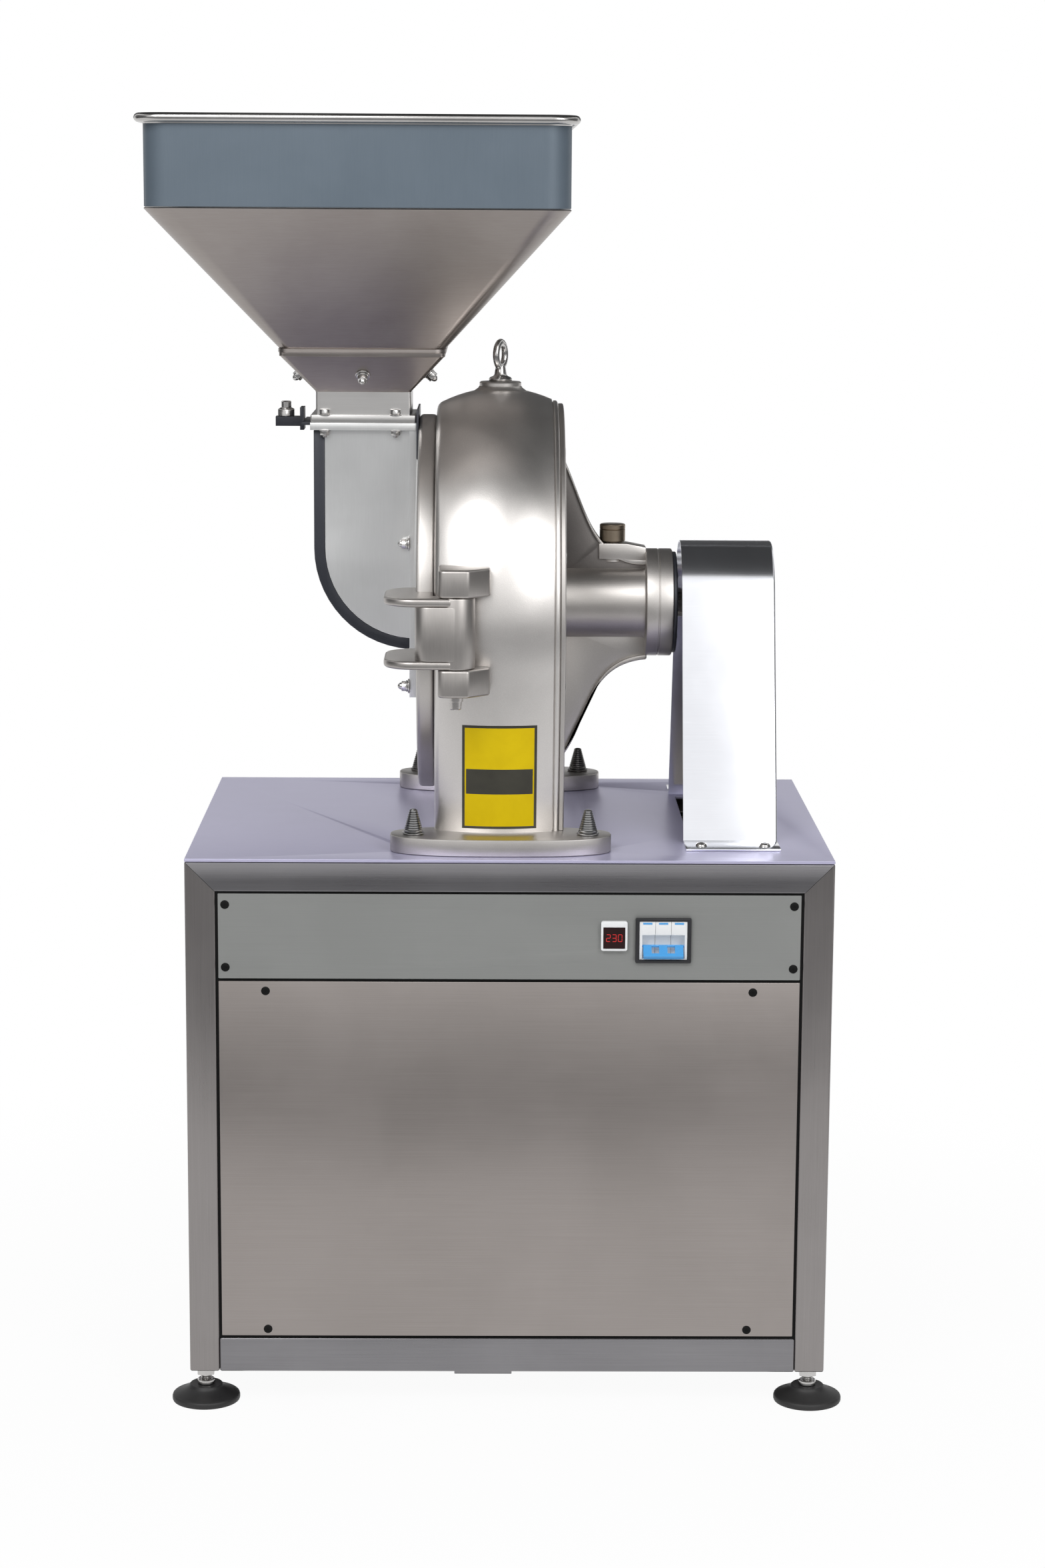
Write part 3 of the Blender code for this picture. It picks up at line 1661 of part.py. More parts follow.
def breaker():
    face = -(half_depth - panel_setback) - seat
    wx, wz = breaker_window_width / 2, breaker_window_height / 2
    bezel = box(
        "breaker_bezel",
        (breaker_x - breaker_bezel_width / 2, face - bezel_stand, breaker_z - breaker_bezel_height / 2),
        (breaker_x + breaker_bezel_width / 2, face, breaker_z + breaker_bezel_height / 2),
    )
    cut(
        bezel,
        box(
            "bezel window",
            (breaker_x - wx, face - 0.02, breaker_z - wz),
            (breaker_x + wx, face + 0.02, breaker_z + wz),
        ),
    )
    finish(bezel, *black_plastic)
    bx, bz = wx - seat, wz - seat
    front = face - bezel_stand + 0.0015
    low_corner = (breaker_x - bx, front, breaker_z - bz)
    body = box("breaker_body", low_corner, (breaker_x + bx, face + 0.008, breaker_z + bz))
    back = box(
        "breaker back",
        (breaker_x - bx, face + panel_sheet + 2 * seat, breaker_z - 0.034),
        (breaker_x + bx, face + breaker_depth, breaker_z + 0.034),
    )
    join(body, back)
    slot_half = bx - 0.003
    pivot_z = breaker_z - toggle_drop
    cut(
        body,
        box(
            "toggle slot",
            (breaker_x - slot_half, front - 0.01, pivot_z - toggle_slot_half),
            (breaker_x + slot_half, front + toggle_slot_depth, pivot_z + toggle_slot_half),
        ),
    )
    finish(body, (0.86, 0.86, 0.84), 0.0, 0.4)
    pivot = (front + toggle_pivot_depth, pivot_z)
    half = slot_half - seat
    ends = ((breaker_x - half, toggle_pivot_radius), (breaker_x + half, toggle_pivot_radius))
    bar = turned("breaker_toggle", "X", pivot, ends, 24)
    levers = []
    for i in (-1, 0, 1):
        middle = breaker_x + i * breaker_pole
        levers.append(tilted(f"toggle lever {i}", middle, toggle_half, pivot, 0.0, toggle_reach, 0.0022))
    tie_start, tie_end = toggle_reach - 0.004, toggle_reach + 0.0005
    levers.append(tilted("toggle tie", breaker_x, toggle_tie_half, pivot, tie_start, tie_end, 0.0026))
    join(bar, *levers)
    finish(bar, (0.04, 0.16, 0.55), 0.0, 0.35)
    return bezel, body, bar, (breaker_x, *pivot)


def tilted(name, middle, half, pivot, start, end, thick):
    """A bar pointing out of the panel from the pivot, tilted by the toggle's angle."""
    c, s = math.cos(toggle_rest), math.sin(toggle_rest)
    outline = []
    for reach, off in ((start, -thick), (end, -thick), (end, thick), (start, thick)):
        outline.append((pivot[0] - reach * c + off * s, pivot[1] + reach * s + off * c))
    return prism(name, "X", outline, middle - half, middle + half)


# ---- The mill ------------------------------------------------------------------------------------
def build():
    for old in list(bpy.data.objects):
        bpy.data.objects.remove(old)
    base = datum_empty()
    pads = []
    for name, x, y in (
        ("front_left", -post_x, -post_y),
        ("front_right", post_x, -post_y),
        ("rear_left", -post_x, post_y),
        ("rear_right", post_x, post_y),
    ):
        axis = axis_empty("foot_axis_" + name, (x, y, frame_low), base)
        pads.append((axis, foot(name, x, y)))
    for axis, pieces in pads:
        carry(axis, *pieces)

    carry(base, cabinet_frame(), table_top(), *panels(), *meter())
    carry(base, motor_plate(), belt_guard(), discharge_chute())
    bezel, body, toggle, pivot = breaker()
    carry(base, bezel, body)
    carry(axis_empty("toggle_axis", pivot, base), toggle)

    motor_axis = axis_empty("motor_axis", (0.0, 0.0, motor_axis_z), base)
    housing, shaft, cover, terminal = motor()
    carry(base, housing, cover, terminal)
    carry(motor_axis, shaft, pulley("motor_pulley", motor_axis_z, motor_pulley_radius, motor_shaft_radius))
    carry(base, belt("belt_inner", pulley_middle - groove_pitch / 2))
    carry(base, belt("belt_outer", pulley_middle + groove_pitch / 2))

    carry(base, mill_casing(), wear_liner(), screen_ring(), eye_bolt(), hinge_pin())
    carry(base, bearing_housing(), bearing_cap())
    carry(base, bearing("bearing_rotor_side", wall_left + 0.004))
    carry(base, bearing("bearing_pulley_side", housing_ring_end - 0.004 - bearing_width))
    names = ("front_left", "front_right", "rear_left", "rear_right")
    for name, (x, y) in zip(names, base_bolt_places()):
        carry(base, base_bolt(name, x, y))
    lubricator_axis = axis_empty("lubricator_axis", (lubricator_x, lubricator_y, lubricator_low), base)
    carry(lubricator_axis, grease_cup())

    rotor_axis = axis_empty("rotor_axis", (0.0, 0.0, shaft_height), base)
    carry(rotor_axis, rotor_shaft(), rotor_hub())
    carry(rotor_axis, pulley("driven_pulley", shaft_height, driven_pulley_radius, drive_end_radius))
    for number, angle in enumerate(hammer_angles(), 1):
        y, z = hammer_pin_place(angle)
        carry(axis_empty(f"hammer_axis_{number}", (0.0, y, z), rotor_axis), hammer_row(number, angle))

    door_axis = axis_empty("door_axis", (hinge_x, hinge_y, shaft_height), base)
    carry(door_axis, door(), feed_chute(), chute_band_strip())
    carry(door_axis, hopper_neck(), hopper_cone(), hopper_band())
    carry(axis_empty("clamp_axis", (door_left, clamp_y, shaft_height), door_axis), clamp_screw())
    gate_axis = axis_empty("gate_axis", (flange_centre, 0.0, flange_joint), door_axis)
    carry(gate_axis, gate_slide())
    carry(axis_empty("gate_bolt_axis", (*gate_bolt_place(), flange_joint), gate_axis), gate_lock_bolt())


build()
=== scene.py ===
import json
import math

import bpy
from mathutils import Matrix, Vector

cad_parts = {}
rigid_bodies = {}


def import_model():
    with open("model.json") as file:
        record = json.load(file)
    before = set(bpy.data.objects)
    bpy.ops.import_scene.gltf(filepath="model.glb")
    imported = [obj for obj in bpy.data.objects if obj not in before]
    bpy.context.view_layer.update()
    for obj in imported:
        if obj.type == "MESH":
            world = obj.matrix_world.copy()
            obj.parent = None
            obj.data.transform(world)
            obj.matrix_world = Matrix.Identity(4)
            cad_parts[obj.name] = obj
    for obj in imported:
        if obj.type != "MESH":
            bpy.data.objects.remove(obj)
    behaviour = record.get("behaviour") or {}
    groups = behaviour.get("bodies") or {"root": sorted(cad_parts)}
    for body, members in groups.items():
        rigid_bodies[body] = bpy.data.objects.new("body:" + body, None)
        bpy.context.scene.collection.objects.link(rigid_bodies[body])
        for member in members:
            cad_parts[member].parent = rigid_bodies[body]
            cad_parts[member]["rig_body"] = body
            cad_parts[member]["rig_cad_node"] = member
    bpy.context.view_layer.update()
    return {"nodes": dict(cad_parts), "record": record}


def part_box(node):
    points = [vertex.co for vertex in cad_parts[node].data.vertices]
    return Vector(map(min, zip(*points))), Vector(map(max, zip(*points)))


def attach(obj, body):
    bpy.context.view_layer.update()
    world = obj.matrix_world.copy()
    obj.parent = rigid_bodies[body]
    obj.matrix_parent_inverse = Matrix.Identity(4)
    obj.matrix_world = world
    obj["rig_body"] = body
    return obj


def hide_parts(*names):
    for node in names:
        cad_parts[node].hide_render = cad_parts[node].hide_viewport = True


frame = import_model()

nodes = frame["nodes"]

# everything below is laid out from the middle of the table top and moved to its place at the end
tableLow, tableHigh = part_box("table_top")
tableMiddle = Vector(((tableLow.x + tableHigh.x) / 2, 0.0, tableHigh.z))


# selecting and finishing

def clearSelection():
    if bpy.context.mode != "OBJECT":
        bpy.ops.object.mode_set(mode="OBJECT")
    bpy.ops.object.select_all(action="DESELECT")


def pick(*pieces):
    clearSelection()
    for piece in pieces:
        piece.select_set(True)
    bpy.context.view_layer.objects.active = pieces[0]
    return pieces[0]


def editAll(piece):
    pick(piece)
    bpy.ops.object.mode_set(mode="EDIT")
    bpy.ops.mesh.select_all(action="SELECT")


def leaveEdit():
    bpy.ops.object.mode_set(mode="OBJECT")
    return bpy.context.object


def applyPlace(piece):
    pick(piece)
    bpy.ops.object.transform_apply(location=True, rotation=True, scale=True)
    return piece


def applyModifier(piece, kind, **values):
    pick(piece)
    modifier = piece.modifiers.new(kind.lower(), kind)
    for key, value in values.items():
        setattr(modifier, key, value)
    bpy.ops.object.modifier_apply(modifier=modifier.name)
    return piece


def softEdges(piece, width, segments=2, angle=30):
    return applyModifier(piece, "BEVEL", width=width, segments=segments, limit_method="ANGLE",
                         angle_limit=math.radians(angle), use_clamp_overlap=True)


def cutOut(piece, cutter):
    applyModifier(piece, "BOOLEAN", operation="DIFFERENCE", solver="EXACT", object=cutter)
    bpy.data.objects.remove(cutter)
    return piece


def joined(name, *pieces):
    pick(*pieces)
    if len(pieces) > 1:
        bpy.ops.object.join()
    piece = bpy.context.object
    piece.name = name
    return piece


def finished(piece, name, body, finish, replaced=(), angle=24, placed=False):
    # moves a piece to its place and ties it to its body and material
    piece.name = name
    piece.data.name = name
    if not placed:
        piece.location = tableMiddle
    applyPlace(piece)
    bpy.ops.object.shade_smooth_by_angle(angle=math.radians(angle))
    piece.data.materials.clear()
    piece.data.materials.append(materials[finish])
    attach(piece, body)
    if replaced:
        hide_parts(*replaced)
    return piece


# shapes drawn from listed points

def startPoint(point):
    clearSelection()
    bpy.ops.mesh.primitive_plane_add(size=0.01)
    bpy.ops.object.mode_set(mode="EDIT")
    bpy.ops.mesh.merge(type="CENTER")
    bpy.ops.transform.translate(value=point)


def drawLine(points, closed=False):
    # one point pulled on along the line, left in edit mode
    startPoint(points[0])
    for before, after in zip(points, points[1:]):
        step = Vector(after) - Vector(before)
        bpy.ops.mesh.extrude_region_move(TRANSFORM_OT_translate={"value": step})
    bpy.ops.mesh.select_all(action="SELECT")
    if closed:
        bpy.ops.mesh.edge_face_add()


def pull(step):
    bpy.ops.mesh.extrude_region_move(TRANSFORM_OT_translate={"value": step})


def grow(factor, centre):
    bpy.ops.transform.resize(value=factor, center_override=centre)


def tidyShell():
    bpy.ops.mesh.select_all(action="SELECT")
    bpy.ops.mesh.remove_doubles(threshold=0.00002)
    bpy.ops.mesh.normals_make_consistent(inside=False)
    return leaveEdit()


def toAxis(axis, along, across, up):
    if axis == "X":
        return Vector((along, across, up))
    if axis == "Y":
        return Vector((across, along, up))
    return Vector((across, up, along))


def spun(axis, centre, profile, steps=64):
    # a turned piece from its half outline: places along the axis and radii
    line = [toAxis(axis, along, centre[0] + radius, centre[1]) for along, radius in profile]
    drawLine(line)
    turnAxis = toAxis(axis, 1, 0, 0)
    bpy.ops.mesh.spin(steps=steps, angle=2 * math.pi, center=toAxis(axis, 0, *centre), axis=turnAxis)
    return tidyShell()


def roundBar(axis, centre, low, high, radius, steps=64):
    return spun(axis, centre, [(low, 0.0), (low, radius), (high, radius), (high, 0.0)], steps)


def slab(axis, outline, low, high):
    # an outline pulled into a plate
    drawLine([toAxis(axis, low, u, v) for u, v in outline], closed=True)
    pull(toAxis(axis, high - low, 0, 0))
    return tidyShell()


def block(low, high):
    clearSelection()
    middle = [(a + b) / 2 for a, b in zip(low, high)]
    size = [abs(b - a) for a, b in zip(low, high)]
    bpy.ops.mesh.primitive_cube_add(size=1, location=middle, scale=size)
    return applyPlace(bpy.context.object)


def arcLine(centre, radius, start, end, steps):
    turns = [math.radians(start + (end - start) * i / steps) for i in range(steps + 1)]
    return [(centre[0] + radius * math.cos(t), centre[1] + radius * math.sin(t)) for t in turns]


def roundedLine(low, high, radius, steps=8):
    corners = ((high[0] - radius, high[1] - radius, 0), (low[0] + radius, high[1] - radius, 90),
               (low[0] + radius, low[1] + radius, 180), (high[0] - radius, low[1] + radius, 270))
    return [p for x, y, start in corners for p in arcLine((x, y), radius, start, start + 90, steps)]


def archLine(radius, baseHalf, height, base, steps):
    # a round top whose sides run straight to the base
    drop = base - height
    start = math.degrees(math.atan2(drop, baseHalf) + math.acos(radius / math.hypot(baseHalf, drop)))
    return [(baseHalf, base)] + arcLine((0, height), radius, start, 180 - start,
                                        steps) + [(-baseHalf, base)]


def curveLine(first, second, third, last, steps):
    points = []
    for i in range(steps + 1):
        t = i / steps
        weights = ((1 - t) ** 3, 3 * t * (1 - t) ** 2, 3 * t * t * (1 - t), t ** 3)
        points.append(tuple(sum(w * knot[k] for w, knot in zip(weights, (first, second, third, last)))
                            for k in (0, 1)))
    return points


def copied(piece, move=(0, 0, 0), turn=None):
    # a copy with its own mesh, turned about the origin and then moved
    pick(piece)
    bpy.ops.object.duplicate()
    copy = bpy.context.object
    if turn is not None:
        copy.rotation_euler = turn
    copy.location = move
    return applyPlace(copy)


def shifted(piece, move, turn=(0, 0, 0)):
    piece.rotation_euler = turn
    piece.location = move
    return applyPlace(piece)


def refined(node, bevel, finish, segments=2, angle=24):
    # a clean copy of a plain part, with its edges broken, stands for it
    pick(nodes[node])
    bpy.ops.object.duplicate()
    piece = bpy.context.object
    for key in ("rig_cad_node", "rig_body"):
        if key in piece:
            del piece[key]
    piece.parent = None
    piece.matrix_world = Matrix.Identity(4)
    editAll(piece)
    bpy.ops.mesh.customdata_custom_splitnormals_clear()
    bpy.ops.mesh.remove_doubles(threshold=0.00001)
    bpy.ops.mesh.dissolve_limited(angle_limit=math.radians(0.4))
    leaveEdit()
    if bevel:
        softEdges(piece, bevel, segments)
    body = [name for name, members in frame["record"]["behaviour"]["bodies"].items() if node in members][0]
    return finished(piece, node + "_fine", body, finish, [node], angle, placed=True)


# surface effects shared by the materials

def newGroup(name, inputs, outputs):
    group = bpy.data.node_groups.new(name, "ShaderNodeTree")
    for socket, kind, value in inputs:
        made = group.interface.new_socket(name=socket, in_out="INPUT", socket_type=kind)
        if value is not None:
            made.default_value = value
    for socket, kind in outputs:
        group.interface.new_socket(name=socket, in_out="OUTPUT", socket_type=kind)
    return group, group.nodes.new("NodeGroupInput"), group.nodes.new("NodeGroupOutput")


def addNode(tree, kind, values=(), inputs=()):
    node = tree.nodes.new("ShaderNode" + kind)
    for key, value in dict(values).items():
        setattr(node, key, value)
    for key, value in dict(inputs).items():
        node.inputs[key].default_value = value
    return node


def brushedGrain():
    # fine streaks along the longest side of Stretch
    group, given, out = newGroup(
        "brushedGrain",
        [("Vector", "NodeSocketVector", None), ("Stretch", "NodeSocketVector", (8.0, 900.0, 900.0))],
        [("Streaks", "NodeSocketFloat")],
    )
    scaled = addNode(group, "VectorMath", {"operation": "MULTIPLY"})
    coarse = addNode(group, "TexNoise", inputs={"Scale": 1.0, "Detail": 2.0, "Roughness": 0.6})
    fine = addNode(group, "TexNoise", inputs={"Scale": 2.7, "Detail": 1.0, "Roughness": 0.5})
    mixed = addNode(group, "Math", {"operation": "MULTIPLY_ADD"}, {1: 0.6})
    halved = addNode(group, "Math", {"operation": "MULTIPLY"}, {1: 0.4})
    link = group.links.new
    link(given.outputs["Vector"], scaled.inputs[0])
    link(given.outputs["Stretch"], scaled.inputs[1])
    link(scaled.outputs[0], coarse.inputs["Vector"])
    link(scaled.outputs[0], fine.inputs["Vector"])
    link(fine.outputs["Fac"], halved.inputs[0])
    link(coarse.outputs["Fac"], mixed.inputs[0])
    link(halved.outputs[0], mixed.inputs[2])
    link(mixed.outputs[0], out.inputs["Streaks"])
    return group


def castSkin():
    # pits and pimples of a blasted casting or a moulded skin
    group, given, out = newGroup(
        "castSkin",
        [("Vector", "NodeSocketVector", None), ("Scale", "NodeSocketFloat", 700.0)],
        [("Speckle", "NodeSocketFloat")],
    )
    grit = addNode(group, "TexNoise", inputs={"Detail": 3.0, "Roughness": 0.65})
    cells = addNode(group, "TexVoronoi", {"feature": "SMOOTH_F1"}, {"Smoothness": 0.6})
    mixed = addNode(group, "Math", {"operation": "MULTIPLY_ADD"}, {1: 0.5})
    halved = addNode(group, "Math", {"operation": "MULTIPLY"}, {1: 0.5})
    link = group.links.new
    link(given.outputs["Vector"], grit.inputs["Vector"])
    link(given.outputs["Scale"], grit.inputs["Scale"])
    link(given.outputs["Vector"], cells.inputs["Vector"])
    link(given.outputs["Scale"], cells.inputs["Scale"])
    link(cells.outputs["Distance"], halved.inputs[0])
    link(grit.outputs["Fac"], mixed.inputs[0])
    link(halved.outputs[0], mixed.inputs[2])
    link(mixed.outputs[0], out.inputs["Speckle"])
    return group


def handledSmudge():
    # broad uneven patches left by wiping and handling, and a few thin scratches
    group, given, out = newGroup(
        "handledSmudge",
        [("Vector", "NodeSocketVector", None), ("Scale", "NodeSocketFloat", 6.0)],
        [("Patch", "NodeSocketFloat"), ("Scratch", "NodeSocketFloat")],
    )
    patch = addNode(group, "TexNoise", inputs={"Detail": 4.0, "Roughness": 0.55, "Distortion": 0.4})
    spread = addNode(group, "MapRange", {"interpolation_type": "SMOOTHSTEP"},
                     {"From Min": 0.32, "From Max": 0.70})
    warp = addNode(group, "VectorMath", {"operation": "MULTIPLY"}, {1: (9.0, 9.0, 120.0)})
    lines = addNode(group, "TexNoise", inputs={"Scale": 1.3, "Detail": 2.0, "Distortion": 1.2})
    thin = addNode(group, "MapRange", inputs={"From Min": 0.735, "From Max": 0.76})
    link = group.links.new
    link(given.outputs["Vector"], patch.inputs["Vector"])
    link(given.outputs["Scale"], patch.inputs["Scale"])
    link(patch.outputs["Fac"], spread.inputs["Value"])
    link(given.outputs["Vector"], warp.inputs[0])
    link(warp.outputs[0], lines.inputs["Vector"])
    link(lines.outputs["Fac"], thin.inputs["Value"])
    link(spread.outputs["Result"], out.inputs["Patch"])
    link(thin.outputs["Result"], out.inputs["Scratch"])
    return group


grainGroup, skinGroup, smudgeGroup = brushedGrain(), castSkin(), handledSmudge()


def madeMaterial(name, look):
    # light and dark tones mixed by streaks, speckle and smudges, which also drive roughness and bump
    material = bpy.data.materials.new(name)
    material.use_nodes = True
    tree = material.node_tree
    link = tree.links.new
    shader = tree.nodes["Principled BSDF"]
    shader.inputs["Metallic"].default_value = look["metallic"]
    for socket, value in look.get("fixed", {}).items():
        shader.inputs[socket].default_value = value
    place = addNode(tree, "TexCoord")
    grain = addNode(tree, "Group", {"node_tree": grainGroup}, {"Stretch": look.get("stretch",
                                                                                   (300.0, 300.0, 300.0))})
    skin = addNode(tree, "Group", {"node_tree": skinGroup}, {"Scale": look.get("skin", 700.0)})
    smudge = addNode(tree, "Group", {"node_tree": smudgeGroup}, {"Scale": look.get("patch", 6.0)})
    for group in (grain, skin, smudge):
        link(place.outputs["Object"], group.inputs["Vector"])
    shares = look["shares"]          # how much grain, skin, patch and scratch show
    total = None
    for output, share in ((grain.outputs["Streaks"], shares[0]), (skin.outputs["Speckle"], shares[1]),
                          (smudge.outputs["Patch"], shares[2]), (smudge.outputs["Scratch"], shares[3])):
        step = addNode(tree, "Math", {"operation": "MULTIPLY_ADD"}, {1: share, 2: 0.0})
        link(output, step.inputs[0])
        if total is not None:
            link(total, step.inputs[2])
        total = step.outputs[0]
    tone = addNode(tree, "Mix", {"data_type": "RGBA", "clamp_factor": True})
    tone.inputs["A"].default_value = (*look["dark"], 1)
    tone.inputs["B"].default_value = (*look["light"], 1)
    link(total, tone.inputs["Factor"])
    link(tone.outputs["Result"], shader.inputs["Base Color"])
    rough = addNode(tree, "MapRange", inputs={"To Min": look["rough"][0], "To Max": look["rough"][1]})
    link(total, rough.inputs["Value"])
    link(rough.outputs["Result"], shader.inputs["Roughness"])
    height = addNode(tree, "Math", {"operation": "MULTIPLY_ADD"}, {1: look.get("skinBump", 0.0), 2: 0.0})
    streak = addNode(tree, "Math", {"operation": "MULTIPLY"}, {1: look.get("grainBump", 0.0)})
    link(skin.outputs["Speckle"], height.inputs[0])
    link(grain.outputs["Streaks"], streak.inputs[0])
    link(streak.outputs[0], height.inputs[2])
    bump = addNode(tree, "Bump", inputs={"Strength": look.get("bump", 0.3), "Distance": 0.0003})
    link(height.outputs[0], bump.inputs["Height"])
    link(bump.outputs["Normal"], shader.inputs["Normal"])
    return material


